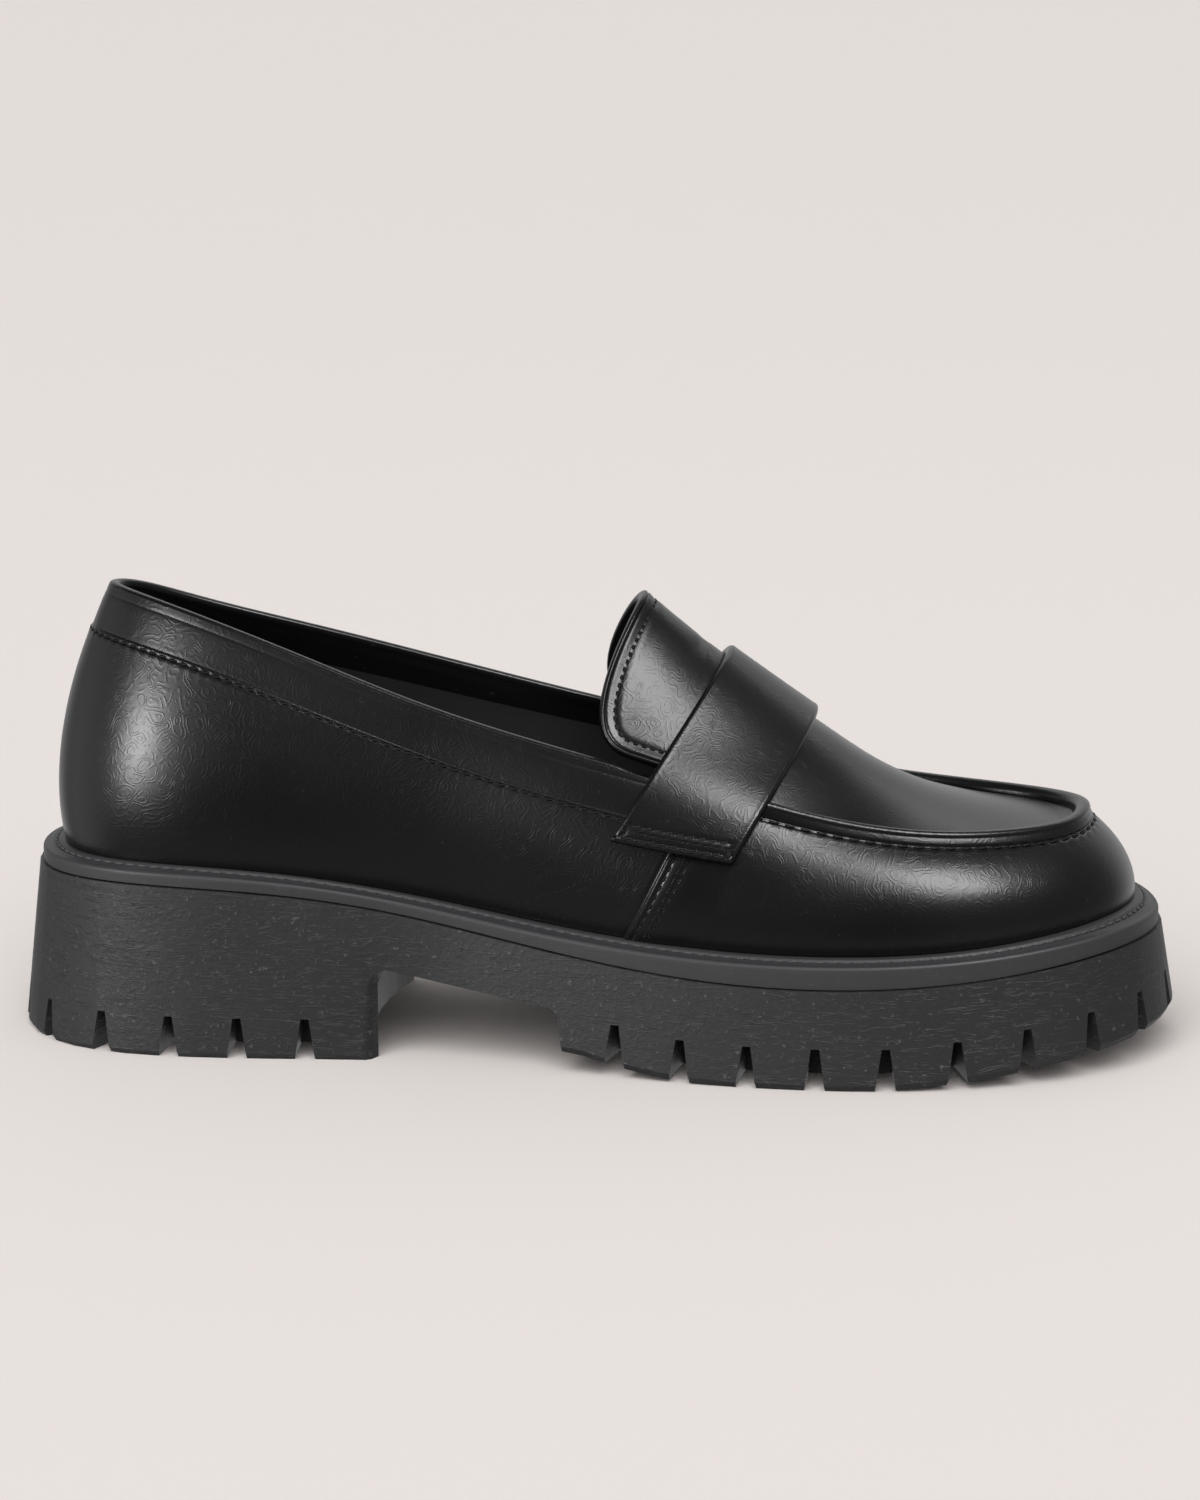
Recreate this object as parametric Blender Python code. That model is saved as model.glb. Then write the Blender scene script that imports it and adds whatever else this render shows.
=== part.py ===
"""Chunky lug sole loafer, a right shoe, built as the assembly that a shoemaker puts together.

Run it with: blender --background --python part.py

The shoe points its toe along +X, its lateral (outer) side faces -Y and it stands on z = 0.
Sizes are in millimetres and turned into metres when a mesh is written.
Lines round the shoe are read at u, counted in stations: 0 is the back of the heel, 11 the tip of
the toe, and from 11 to 22 the line comes back along the medial side.
"""

import math

import bmesh
import bpy
import numpy as np
from mathutils import Vector

MM = 0.001

# Sheet and joint sizes
WALL = 2.2  # upper leather with its lining
TOUCH_GAP = 0.3  # between two pieces that are glued or stitched
STRAP_THICKNESS = 2.6
TONGUE_THICKNESS = 2.8
INSOLE_THICKNESS = 3.0

# The last: one row for each station from the back of the heel to the tip of the toe
# The feather line is the foot of the upper, where it meets the sole
FEATHER = (
    # x, lateral half width, medial half width, height
    (-129.8, 0.0, 0.0, 45.6),
    (-122.5, 21.0, 20.0, 45.4),
    (-101.0, 31.2, 29.5, 45.1),
    (-70.0, 31.8, 29.0, 43.0),
    (-38.0, 31.6, 26.8, 38.2),
    (-6.0, 37.5, 29.0, 33.4),
    (28.0, 44.5, 35.5, 30.3),
    (62.0, 47.5, 40.5, 29.8),
    (92.0, 43.5, 39.5, 31.4),
    (114.5, 31.5, 30.5, 33.8),
    (126.0, 16.5, 16.5, 35.0),
    (129.8, 0.0, 0.0, 35.0),
)
# The top line is the edge of the collar, and in front of the strap the seam round the apron
TOP = (
    # x, lateral half width, medial half width, lateral height, medial height
    (-118.0, 0.0, 0.0, 107.0, 107.0),
    (-112.0, 11.5, 11.0, 106.6, 104.9),
    (-95.0, 20.0, 19.5, 102.6, 98.9),
    (-68.0, 25.5, 24.5, 93.6, 91.6),
    (-38.0, 29.0, 27.0, 82.8, 83.8),
    (-6.0, 33.5, 31.0, 74.0, 75.2),
    (27.0, 36.5, 34.5, 65.8, 66.4),
    (58.0, 36.0, 33.0, 57.8, 57.8),
    (84.0, 33.0, 30.5, 54.4, 54.2),
    (105.0, 24.0, 23.0, 53.9, 53.6),
    (115.0, 13.0, 12.5, 54.3, 54.2),
    (118.0, 0.0, 0.0, 54.9, 54.9),
)
# The bend of the wall between the two: how far its handles reach out and along the height
BULGE = (
    # low out, low up, high out, high down
    (3.7, 17.0, 11.0, 21.5),
    (3.7, 17.0, 10.5, 21.0),
    (3.5, 16.0, 9.0, 20.0),
    (3.0, 14.0, 6.5, 17.0),
    (3.0, 12.0, 6.0, 15.0),
    (3.0, 11.0, 6.5, 13.0),
    (3.0, 10.0, 7.5, 11.0),
    (2.8, 9.0, 9.0, 7.0),
    (2.4, 8.5, 9.0, 5.0),
    (1.6, 8.0, 7.5, 4.5),
    (1.0, 8.0, 6.2, 4.2),
    (0.8, 8.0, 6.0, 4.0),
)
# The crest of the instep, from the tongue's tip to the tip of the apron
CREST = (
    # station, x, height
    (4.0, -6.0, 120.4),
    (4.8, 11.6, 107.2),
    (5.5, 28.3, 93.7),
    (6.0, 41.5, 84.0),
    (6.5, 54.6, 74.8),
    (7.0, 67.5, 66.3),
    (7.5, 79.0, 60.8),
    (8.0, 89.5, 57.8),
    (9.0, 107.5, 54.3),
    (10.0, 114.0, 53.4),
    (11.0, 116.5, 53.1),
)
# The sole's edge, as it stands proud of the feather line
SOLE_EDGE = (
    # ledge width, flare of the sidewall below it, drop of the ledge, height of the band
    (5.4, 4.2, 1.2, 4.0),
    (5.0, 3.8, 1.0, 3.6),
    (4.6, 2.8, 1.0, 3.4),
    (4.8, 2.4, 1.0, 3.2),
    (5.2, 2.2, 1.0, 3.2),
    (5.4, 2.5, 1.0, 4.0),
    (5.5, 2.6, 1.0, 5.2),
    (5.5, 2.6, 1.0, 5.6),
    (5.6, 2.6, 1.0, 5.2),
    (5.8, 2.8, 1.3, 4.6),
    (5.8, 3.0, 1.9, 4.2),
    (5.8, 3.2, 2.3, 4.0),
)
STATION_COUNT = len(FEATHER) - 1
ROUND = 2 * STATION_COUNT
COLUMNS = 4 * ROUND  # points round the shoe
TOE_COLUMN = COLUMNS // 2

# The upper
WALL_STEPS = (0.0, 0.11, 0.24, 0.38, 0.52, 0.66, 0.8, 0.91, 1.0)  # up to the collar's seam
LINING_STEPS = (0.0, 0.25, 0.5, 0.75)
THROAT_COLUMN = 24  # the apron starts here, at station 6, under the strap
APRON_ACROSS = 12
COLLAR_BAND, COLLAR_STEP = 10.6, 0.5  # the facing round the collar lies a step lower than the wall
LIP_SEAM = 3.2  # the same step runs on, this far under the lip round the apron
LIP_STARTS, LIP_IS_FULL = 6.05, 6.4  # stations, under the strap
ROLL = (
    # the rolled edge of collar and apron: station, width, height; it lies flat under the strap
    (5.4, 2.0, 1.0),
    (5.65, 2.0, 0.05),
    (6.5, 2.2, 0.05),
    (6.7, 2.4, 1.9),
)

# The sole
EDGE_ROUND = 1.1
SIDE_STEP = 0.8  # the lugged sidewall stands out from the band
LUG_HEIGHT = 9.8
LUG_CHAMFER = 0.9
LUG_PITCH = 17.3
PITCH_SPREAD = 0.012  # the lugs are longer round heel and toe than along the sides
LUG_DEPTH = 15.5  # how far a notch runs in from the side
HEEL_BREAST = -49.2
BREAST_HOLLOW = 5.0  # the breast curves back in the middle
BREAST_CORNER = 35.0  # beyond this half width its corners are rounded
ARCH_FRONT = -4.2
ARCH_BACK_HEIGHT, ARCH_FRONT_HEIGHT = 22.0, 15.3
ARCH_REACH = 38.0  # how far the forefoot's roll goes on behind its flat stretch
BALL_START, BALL_END = 35.0, 66.0  # the flat stretch of the forefoot tread
TOE_TIP = 139.0
TOE_SPRING = 8.6
HEEL_NOTCH = {"top": 1.9, "foot": 4.4, "first_x": -66.2}
FORE_NOTCH = {"top": 1.9, "foot": 4.4, "first_x": 7.8}
CHANNEL_INSET = 18.0  # the tread's middle starts this far in from the side
POCKETS = ((-119.0, -64.0), (10.0, 116.0))  # the recesses under heel and forefoot, along X
POCKET_DEPTH = 3.6
BAR_LENGTH = 8.5  # the chevron bars in the middle of the tread
BAR_POINT = 4.0
HEEL_BARS = (-108.1, -91.8, -75.5)
FORE_BARS = (18.5, 34.8, 51.1, 67.4, 83.7, 100.0)
BAR_SIDE_GAP = 4.5

# The strap
STRAP_WIDTH = 26.3
STRAP_GAP = 0.4
STRAP_MIDDLE_X, STRAP_MIDDLE_HEIGHT = 40.3, 82.5
STRAP_LEAN = 0.655  # how far it runs forward for each millimetre up
STRAP_END = 0.595  # share of the wall where its ends are sewn down

# The tongue
TONGUE_TIP = 4.8  # station
TONGUE_FOOT = 5.88
TONGUE_SHARE = 0.94  # of the arch's width
TONGUE_ROUNDING = 0.52  # the stations over which its end rounds off
TONGUE_HOLLOW = 0.05  # its sides reach further back than its middle
TONGUE_SKEW = 0.14  # its medial side reaches further back


def closed_spline(knots, u):
    """The smooth closed line through knots, one a station, read at u."""
    knots = np.asarray(knots, float)
    count = len(knots)
    unit = np.eye(count)
    system = 4 * unit + np.roll(unit, 1, 0) + np.roll(unit, -1, 0)
    slopes = np.linalg.solve(system, 3 * (np.roll(knots, -1, 0) - np.roll(knots, 1, 0)))
    u = np.asarray(u, float) % count
    first = np.floor(u).astype(int) % count
    second = (first + 1) % count
    s = (u - np.floor(u))[..., None]
    return (
        knots[first] * (1 + 2 * s) * (1 - s) ** 2
        + slopes[first] * s * (1 - s) ** 2
        + knots[second] * s * s * (3 - 2 * s)
        + slopes[second] * s * s * (s - 1)
    )


def both_sides(rows):
    """The rows of one side and then, from the toe back, of the other."""
    return list(rows) + list(rows[-2:0:-1])


def side_knots(rows):
    """(x, y, z) knots round the shoe from rows of x, two half widths and one or two heights."""
    lateral = [(row[0], -row[1], row[3]) for row in rows]
    medial = [(row[0], row[2], row[-1]) for row in rows[-2:0:-1]]
    return lateral + medial


FEATHER_KNOTS = side_knots(FEATHER)
TOP_KNOTS = side_knots(TOP)
BULGE_KNOTS = both_sides(BULGE)
EDGE_KNOTS = both_sides(SOLE_EDGE)


def outward(knots, u):
    """The level direction that points out of a line round the shoe."""
    step = 0.01
    along = closed_spline(knots, np.asarray(u) + step) - closed_spline(knots, np.asarray(u) - step)
    across = np.stack([along[..., 1], -along[..., 0], 0 * along[..., 0]], -1)
    return across / np.linalg.norm(across, axis=-1, keepdims=True)


def wall(u, t):
    """The outside of the upper at u, from the feather line (t = 0) to the top line (t = 1)."""
    low = closed_spline(FEATHER_KNOTS, u) + (0, 0, TOUCH_GAP)
    high = closed_spline(TOP_KNOTS, u)
    bulge = closed_spline(BULGE_KNOTS, u)
    up = np.array((0.0, 0.0, 1.0))
    low_handle = low + outward(FEATHER_KNOTS, u) * bulge[..., 0:1] + up * bulge[..., 1:2]
    high_handle = high + outward(TOP_KNOTS, u) * bulge[..., 2:3] - up * bulge[..., 3:4]
    t = np.asarray(t, float)[..., None]
    return (
        low * (1 - t) ** 3
        + low_handle * 3 * t * (1 - t) ** 2
        + high_handle * 3 * t * t * (1 - t)
        + high * t**3
    )


def wall_normal(u, t):
    """The direction that points out of the wall."""
    step = 0.01
    t = np.clip(t, step, 1 - step)
    along = wall(u + step, t) - wall(u - step, t)
    rising = wall(u, t + step) - wall(u, t - step)
    normal = np.cross(along, rising)
    return normal / np.linalg.norm(normal, axis=-1, keepdims=True)


def station_of(u):
    """The station on either side, from 0 at the heel to the last at the toe."""
    u = np.asarray(u, float) % ROUND
    return np.minimum(u, ROUND - u)


def lip_share(u):
    """0 along the collar and under the strap, 1 where the lip round the apron is full."""
    share = np.clip((station_of(u) - LIP_STARTS) / (LIP_IS_FULL - LIP_STARTS), 0, 1)
    return share * share * (3 - 2 * share)


def seam_at(u):
    """Where up the wall the seam under the collar, and under the lip, runs."""
    below_top = COLLAR_BAND + (LIP_SEAM - COLLAR_BAND) * lip_share(u)
    bulge = closed_spline(BULGE_KNOTS, u)
    return 1 - below_top / (3 * np.hypot(bulge[..., 2], bulge[..., 3]))


def edge_ring(u, across, rise):
    """A ring of the rolled edge: across is how far in from the top line, rise how far above it."""
    stations, widths, heights = zip(*ROLL)
    width = np.interp(station_of(u), stations, widths)[..., None]
    height = np.interp(station_of(u), stations, heights)[..., None]
    inward = -outward(TOP_KNOTS, u)
    return closed_spline(TOP_KNOTS, u) + inward * across * width + np.array((0, 0, 1.0)) * rise * height


def arch_edge(u):
    """The inner foot of the rolled edge, where the apron's leather starts."""
    return edge_ring(u, 1.25, 0.0)


def crest(station):
    """The highest line of the instep at a station."""
    stations, xs, heights = zip(*CREST)
    slopes_x = np.gradient(xs, stations)
    slopes_z = np.gradient(heights, stations)
    k = int(np.clip(np.searchsorted(stations, station, "right") - 1, 0, len(CREST) - 2))
    gap = stations[k + 1] - stations[k]
    s = (station - stations[k]) / gap
    blend = (
        (1 + 2 * s) * (1 - s) ** 2,
        s * (1 - s) ** 2 * gap,
        s * s * (3 - 2 * s),
        s * s * (s - 1) * gap,
    )
    x = blend[0] * xs[k] + blend[1] * slopes_x[k] + blend[2] * xs[k + 1] + blend[3] * slopes_x[k + 1]
    z = (
        blend[0] * heights[k]
        + blend[1] * slopes_z[k]
        + blend[2] * heights[k + 1]
        + blend[3] * slopes_z[k + 1]
    )
    return np.array((x, z))


def arch(station, w):
    """The instep over the foot at a station: w runs from -1 at the lateral edge to 1 at the medial."""
    lateral = arch_edge(np.array(station))
    medial = arch_edge(np.array(ROUND - station))
    middle, half = (lateral + medial) / 2, (medial - lateral) / 2
    x, z = crest(station)
    top = np.array((x, middle[1] * 0.5, z))
    w = np.asarray(w, float)[..., None]
    return middle + half * w + (top - middle) * (1 - w * w)


def arch_normal(station, w):
    """The direction that points out of the instep."""
    step = 0.02
    along = arch(min(station + step, STATION_COUNT), w) - arch(station - step, w)
    across = arch(station, w + step) - arch(station, w - step)
    normal = np.cross(along, across)
    return normal / np.linalg.norm(normal, axis=-1, keepdims=True)


def skin(station, v):
    """One line over the shoe at a station: v is 0 at the lateral feather line, 1 at the lateral
    top line, 2 at the crest, 3 at the medial top line and 4 at the medial feather line."""
    if v <= 1:
        return wall(np.array(station), np.array(v))
    if v >= 3:
        return wall(np.array(ROUND - station), np.array(4.0 - v))
    return arch(station, np.array(v - 2.0))


def skin_normal(station, v):
    """The direction that points out of the skin, turned smoothly where wall and instep meet."""
    step = 0.06
    along = skin(station + step, v) - skin(station - step, v)
    across = skin(station, min(v + step, 4.0)) - skin(station, max(v - step, 0.0))
    normal = np.cross(along, across)
    return normal / np.linalg.norm(normal)


def columns(count=COLUMNS):
    return np.arange(count) * ROUND / count


def sole_line(inset, z_line, u=None):
    """A line round the sole: inset is measured in from the band's edge, and z_line gives its
    height from x, the feather line's height, the ledge's drop and the band's height."""
    u = columns() if u is None else u
    base = closed_spline(FEATHER_KNOTS, u)
    ledge, _, drop, band_height = closed_spline(EDGE_KNOTS, u).T
    line = base + outward(FEATHER_KNOTS, u) * (ledge[:, None] - inset)
    line[:, 2] = z_line(line[:, 0], base[:, 2], drop, band_height)
    return line


def lug_line(inset=0.0, u=None):
    """The foot of the lugged sidewall, flared out from the band."""
    u = columns() if u is None else u
    flare = closed_spline(EDGE_KNOTS, u)[:, 1:2]
    return sole_line(inset - SIDE_STEP - flare, lambda x, *_: tread_height(x), u)


def tread_height(x):
    """The underside of the lugs: flat under heel and ball, rolling up to the arch and the toe."""
    x = np.asarray(x, float)
    roll = 0.004 * np.clip(BALL_START - x, 0, ARCH_REACH) ** 2
    behind = np.where(x > HEEL_BREAST + 14.0, roll, 0.0)
    ahead = TOE_SPRING * (np.clip(x - BALL_END, 0, None) / (TOE_TIP - BALL_END)) ** 1.3
    return behind + ahead


def band_foot(_, feather_z, drop, band_height):
    """The height of the step between the band and the lugged sidewall."""
    return feather_z - drop - band_height


def add_ring(mesh, points):
    return [mesh.verts.new(Vector(p) * MM) for p in points]


def band(mesh, low, high, closed=True):
    """The faces between two rings of the same length."""
    count = len(low)
    for i in range(count if closed else count - 1):
        j = (i + 1) % count
        mesh.faces.new((low[i], low[j], high[j], high[i]))


def ladder(mesh, ring):
    """Closes a ring round the shoe with rungs from its lateral to its medial side."""
    count = len(ring)
    for k in range(count // 2):
        corners = [ring[k], ring[k + 1], ring[(count - k - 1) % count], ring[(count - k) % count]]
        mesh.faces.new(list(dict.fromkeys(corners)))


def finished(name, mesh, material, sharp_degrees=35):
    """Turns a closed bmesh into a named object with its material."""
    bmesh.ops.recalc_face_normals(mesh, faces=mesh.faces)
    data = bpy.data.meshes.new(name)
    mesh.to_mesh(data)
    mesh.free()
    data.shade_smooth()
    data.set_sharp_from_angle(angle=math.radians(sharp_degrees))
    data.materials.append(material)
    made = bpy.data.objects.new(name, data)
    bpy.context.scene.collection.objects.link(made)
    return made


def helper(name, mesh):
    """A cutter or a filler, which isn't a part itself."""
    bmesh.ops.recalc_face_normals(mesh, faces=mesh.faces)
    data = bpy.data.meshes.new(name)
    mesh.to_mesh(data)
    mesh.free()
    made = bpy.data.objects.new(name, data)
    bpy.context.scene.collection.objects.link(made)
    made.hide_render = True
    made.display_type = "WIRE"
    return made


def material(name, colour, roughness, metallic=0.0):
    made = bpy.data.materials.new(name)
    made.use_nodes = True
    shader = made.node_tree.nodes["Principled BSDF"]
    shader.inputs["Base Color"].default_value = (*colour, 1)
    shader.inputs["Roughness"].default_value = roughness
    shader.inputs["Metallic"].default_value = metallic
    return made


def apron_rows(mesh, ring, surface):
    """Fills the front of a ring with rows of the instep, and returns its open row at the throat."""
    steps = np.linspace(-1, 1, APRON_ACROSS + 1)[1:-1]
    rows = []
    for column in range(THROAT_COLUMN, TOE_COLUMN):
        station = column * ROUND / COLUMNS
        inner = add_ring(mesh, surface(station, steps))
        rows.append([ring[column], *inner, ring[COLUMNS - column]])
    for back, front in zip(rows, rows[1:]):
        band(mesh, back, front, closed=False)
    tip = ring[TOE_COLUMN]
    for left, right in zip(rows[-1], rows[-1][1:]):
        mesh.faces.new((left, tip, right))
    return rows[0]


def make_upper(leather):
    """The upper: one hollow wall, open at the collar and throat and underneath."""
    mesh = bmesh.new()
    u = columns()
    seam = seam_at(u)
    outside = [add_ring(mesh, wall(u, seam * t)) for t in WALL_STEPS]
    for t, depth in ((seam + 0.012, 1.0), ((seam + 1) / 2, 0.6)):
        outside.append(add_ring(mesh, wall(u, t) - wall_normal(u, t) * COLLAR_STEP * depth))
    outside.append(add_ring(mesh, wall(u, np.ones(COLUMNS))))
    outside.append(add_ring(mesh, edge_ring(u, 0.15, 0.75)))
    outside.append(add_ring(mesh, edge_ring(u, 0.6, 1.0)))
    outside.append(add_ring(mesh, edge_ring(u, 1.05, 0.7)))
    outside.append(add_ring(mesh, arch_edge(u)))
    lining = []
    for t in LINING_STEPS:
        steps = np.full(COLUMNS, t)
        lining.append(add_ring(mesh, wall(u, steps) - wall_normal(u, steps) * WALL))
    below = arch_edge(u)
    below[:, 2] -= WALL
    lining.append(add_ring(mesh, below))
    for rings in (outside, lining):
        for low, high in zip(rings, rings[1:]):
            band(mesh, low, high)
    band(mesh, outside[0], lining[0])

    def under_arch(station, w):
        return arch(station, w) - arch_normal(station, w) * WALL

    mouths = []
    for ring, surface in ((outside[-1], arch), (lining[-1], under_arch)):
        throat = apron_rows(mesh, ring, surface)
        collar = [ring[k % COLUMNS] for k in range(THROAT_COLUMN, -THROAT_COLUMN - 1, -1)]
        mouths.append(collar + throat[-2:0:-1])
    band(mesh, *mouths)
    return finished("upper", mesh, leather)


def sheet(mesh, point, normal, rows, across, thickness):
    """A curved sheet over the skin: point and normal give its underside for a row and a step."""
    under, over = [], []
    for row in range(rows + 1):
        ends = [(point(row, k), normal(row, k)) for k in range(across + 1)]
        under.append(add_ring(mesh, [p for p, _ in ends]))
        over.append(add_ring(mesh, [p + n * thickness for p, n in ends]))
    for grid in (under, over):
        for back, front in zip(grid, grid[1:]):
            band(mesh, back, front, closed=False)
    for grid_row in (0, rows):
        band(mesh, under[grid_row], over[grid_row], closed=False)
    for end in (0, across):
        band(mesh, [r[end] for r in under], [r[end] for r in over], closed=False)


def make_tongue(leather):
    """The tongue: a bowed flap that rises out of the throat under the strap, with a round end."""
    rows, across = 12, 12
    mesh = bmesh.new()

    def spot(row, k):
        progress = 1 - (1 - row / rows) ** 1.35
        station = TONGUE_FOOT - (TONGUE_FOOT - TONGUE_TIP) * progress
        past = np.clip((TONGUE_TIP + TONGUE_ROUNDING - station) / TONGUE_ROUNDING, 0, 1)
        width = TONGUE_SHARE * (1 - past**2.4) ** (1 / 2.4)
        w = width * (2 * k / across - 1)
        back = TONGUE_HOLLOW * w * w + TONGUE_SKEW * max(w, 0.0)
        return station - back * progress, w

    def point(row, k):
        station, w = spot(row, k)
        return arch(station, np.array(w)) + arch_normal(station, np.array(w)) * (-TONGUE_THICKNESS)

    def normal(row, k):
        station, w = spot(row, k)
        return arch_normal(station, np.array(w))

    sheet(mesh, point, normal, rows, across, TONGUE_THICKNESS)
    bmesh.ops.remove_doubles(mesh, verts=mesh.verts, dist=0.02 * MM)
    return finished("tongue", mesh, leather, 50)


def strap_station(v, shift):
    """The station where the skin line v crosses the strap's leaning plane, shifted along X."""
    low, high = 3.5, 8.5
    for _ in range(24):
        middle = (low + high) / 2
        p = skin(middle, v)
        ahead = p[0] - STRAP_MIDDLE_X - shift - STRAP_LEAN * (p[2] - STRAP_MIDDLE_HEIGHT)
        if ahead > 0:
            high = middle
        else:
            low = middle
    return (low + high) / 2


def make_strap(leather):
    """The saddle strap: a band over the instep, sewn down on both sides of the vamp."""
    rows = 6
    mesh = bmesh.new()
    half = STRAP_WIDTH / 2 * math.hypot(1, STRAP_LEAN)
    nudge = 1e-6
    side = np.linspace(STRAP_END, 1, 6)
    over = np.linspace(1 + nudge, 3 - nudge, 19)
    lines = [*side, *over, *(4 - side[::-1])]
    spots = {}

    def spot(row, k):
        if (row, k) not in spots:
            station = strap_station(lines[k], half * (2 * row / rows - 1))
            spots[row, k] = (skin(station, lines[k]), skin_normal(station, lines[k]))
        return spots[row, k]

    def point(row, k):
        p, n = spot(row, k)
        return p + n * STRAP_GAP

    sheet(mesh, point, lambda row, k: spot(row, k)[1], rows, len(lines) - 1, STRAP_THICKNESS)
    return finished("saddle_strap", mesh, leather, 50)


def make_insole(lining):
    """The insole: a cushioned sock on top of the sole, inside the upper."""
    mesh = bmesh.new()
    u = columns()
    base = closed_spline(FEATHER_KNOTS, u)
    rings = []
    for inset, rise in ((4.0, TOUCH_GAP), (3.2, TOUCH_GAP + 0.8), (3.2, 2.4), (4.2, INSOLE_THICKNESS)):
        line = base - outward(FEATHER_KNOTS, u) * inset
        line[:, 2] = base[:, 2] + rise
        rings.append(add_ring(mesh, line))
    for low, high in zip(rings, rings[1:]):
        band(mesh, low, high)
    ladder(mesh, rings[0])
    ladder(mesh, rings[-1])
    return finished("insole", mesh, lining)


def make_welt(rubber):
    """The welt: the band with the stitched ledge, between the upper and the lugged sole."""
    mesh = bmesh.new()
    ledge = closed_spline(EDGE_KNOTS, columns())[:, 0:1]
    lines = (
        sole_line(0.0, lambda x, z, drop, tall: band_foot(x, z, drop, tall) + TOUCH_GAP),
        sole_line(0.0, lambda x, z, drop, tall: z - drop - EDGE_ROUND),
        sole_line(EDGE_ROUND * 0.3, lambda x, z, drop, tall: z - drop - EDGE_ROUND * 0.3),
        sole_line(EDGE_ROUND, lambda x, z, drop, tall: z - drop * 0.75),
        sole_line(ledge + 0.2, lambda x, z, drop, tall: z),
    )
    rings = [add_ring(mesh, line) for line in lines]
    for low, high in zip(rings, rings[1:]):
        band(mesh, low, high)
    ladder(mesh, rings[0])
    ladder(mesh, rings[-1])
    return finished("welt", mesh, rubber)


def arch_cutter():
    """The space under the waist, from the heel's hollow breast to the forefoot."""
    corner = 4.0
    breast = (
        (0.0, -5.0),
        (0.0, ARCH_BACK_HEIGHT - corner),
        (0.3 * corner, ARCH_BACK_HEIGHT - 0.3 * corner),
        (corner, ARCH_BACK_HEIGHT),
    )
    front = (
        (ARCH_FRONT - 3.0, ARCH_FRONT_HEIGHT),
        (ARCH_FRONT - 1.6, ARCH_FRONT_HEIGHT - 1.2),
        (ARCH_FRONT + 1.2, -5.0),
    )
    mesh = bmesh.new()
    rings = []
    half = (6.0, 16.0, 26.0, BREAST_CORNER, 37.5, 39.5, 80.0)
    for y in [-y for y in half[::-1]] + list(half):
        back = HEEL_BREAST - BREAST_HOLLOW * max(0.0, 1 - (y / BREAST_CORNER) ** 2)
        back -= 0.2 * min(max(0.0, abs(y) - BREAST_CORNER), 4.5) ** 2
        rings.append(add_ring(mesh, [(back + x, y, z) for x, z in breast] + [(x, y, z) for x, z in front]))
    for low, high in zip(rings, rings[1:]):
        band(mesh, low, high)
    mesh.faces.new(rings[0])
    mesh.faces.new(rings[-1])
    return helper("arch_cutter", mesh)


def notch_places(first_x, way):
    """Points and outward directions a lug pitch apart, from the lateral side at first_x round the
    toe (way 1) or the heel (way -1) to the medial side."""
    stations = np.linspace(0, STATION_COUNT, 400)
    start = np.interp(first_x, lug_line(0.0, stations)[:, 0], stations)
    end = ROUND - np.interp(first_x, lug_line(0.0, ROUND - stations)[:, 0], stations)
    path = np.linspace(start, end if way > 0 else end - ROUND, 600)
    line = lug_line(0.0, path)[:, :2]
    length = np.concatenate([[0], np.cumsum(np.linalg.norm(np.diff(line, axis=0), axis=1))])
    count = round(length[-1] / LUG_PITCH)
    for k in range(count + 1):
        share = k / count - PITCH_SPREAD * math.sin(2 * math.pi * k / count)
        here = np.interp(length[-1] * share, length, path)
        yield lug_line(0.0, np.array([here]))[0, :2], outward(FEATHER_KNOTS, here)[:2]


def add_notch(mesh, here, out, sizes):
    """A wedge that is narrow at the top and wide at the ground, square to the sole's edge."""
    side = np.array((-out[1], out[0]))
    ground = float(tread_height(here[0])) - 3.0
    top = float(tread_height(here[0])) + LUG_HEIGHT
    reach = (8.0, -LUG_DEPTH)
    ends = []
    for distance in reach:
        middle = here + out * distance
        corners = []
        for z, width in ((ground, sizes["foot"] * 1.3), (top, sizes["top"])):
            for sign in (-1, 1) if z == ground else (1, -1):
                corners.append((*(middle + side * sign * width / 2), z))
        ends.append(add_ring(mesh, corners))
    band(mesh, *ends)
    for end in ends:
        mesh.faces.new(end)


def notch_cutter():
    mesh = bmesh.new()
    for sizes, way in ((HEEL_NOTCH, -1), (FORE_NOTCH, 1)):
        for here, out in notch_places(sizes["first_x"], way):
            add_notch(mesh, here, out, sizes)
    return helper("notch_cutter", mesh)


def middle_line(start, end, inset):
    """The middle of the tread between two places: rows of x and of its two half widths."""
    line = lug_line(inset)
    lateral = line[: TOE_COLUMN + 1]
    medial = np.vstack([line[TOE_COLUMN:], line[:1]])[::-1]
    xs = np.linspace(start, end, 13)
    return [
        (x, np.interp(x, lateral[:, 0], lateral[:, 1]), np.interp(x, medial[:, 0], medial[:, 1]))
        for x in xs
    ]


def pocket_cutter():
    """The recess in the middle of heel and forefoot, which leaves a rim of lugs standing."""
    mesh = bmesh.new()
    for start, end in POCKETS:
        rings = []
        rows = middle_line(start, end, CHANNEL_INSET)
        for rise in (-4.0, POCKET_DEPTH):
            lateral = [(x, low, float(tread_height(x)) + rise) for x, low, _ in rows]
            medial = [(x, high, float(tread_height(x)) + rise) for x, _, high in rows[::-1]]
            rings.append(add_ring(mesh, lateral + medial))
        band(mesh, *rings)
        for ring in rings:
            count = len(rows)
            for k in range(count - 1):
                mesh.faces.new((ring[k], ring[k + 1], ring[2 * count - 2 - k], ring[2 * count - 1 - k]))
    return helper("pocket_cutter", mesh)


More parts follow.
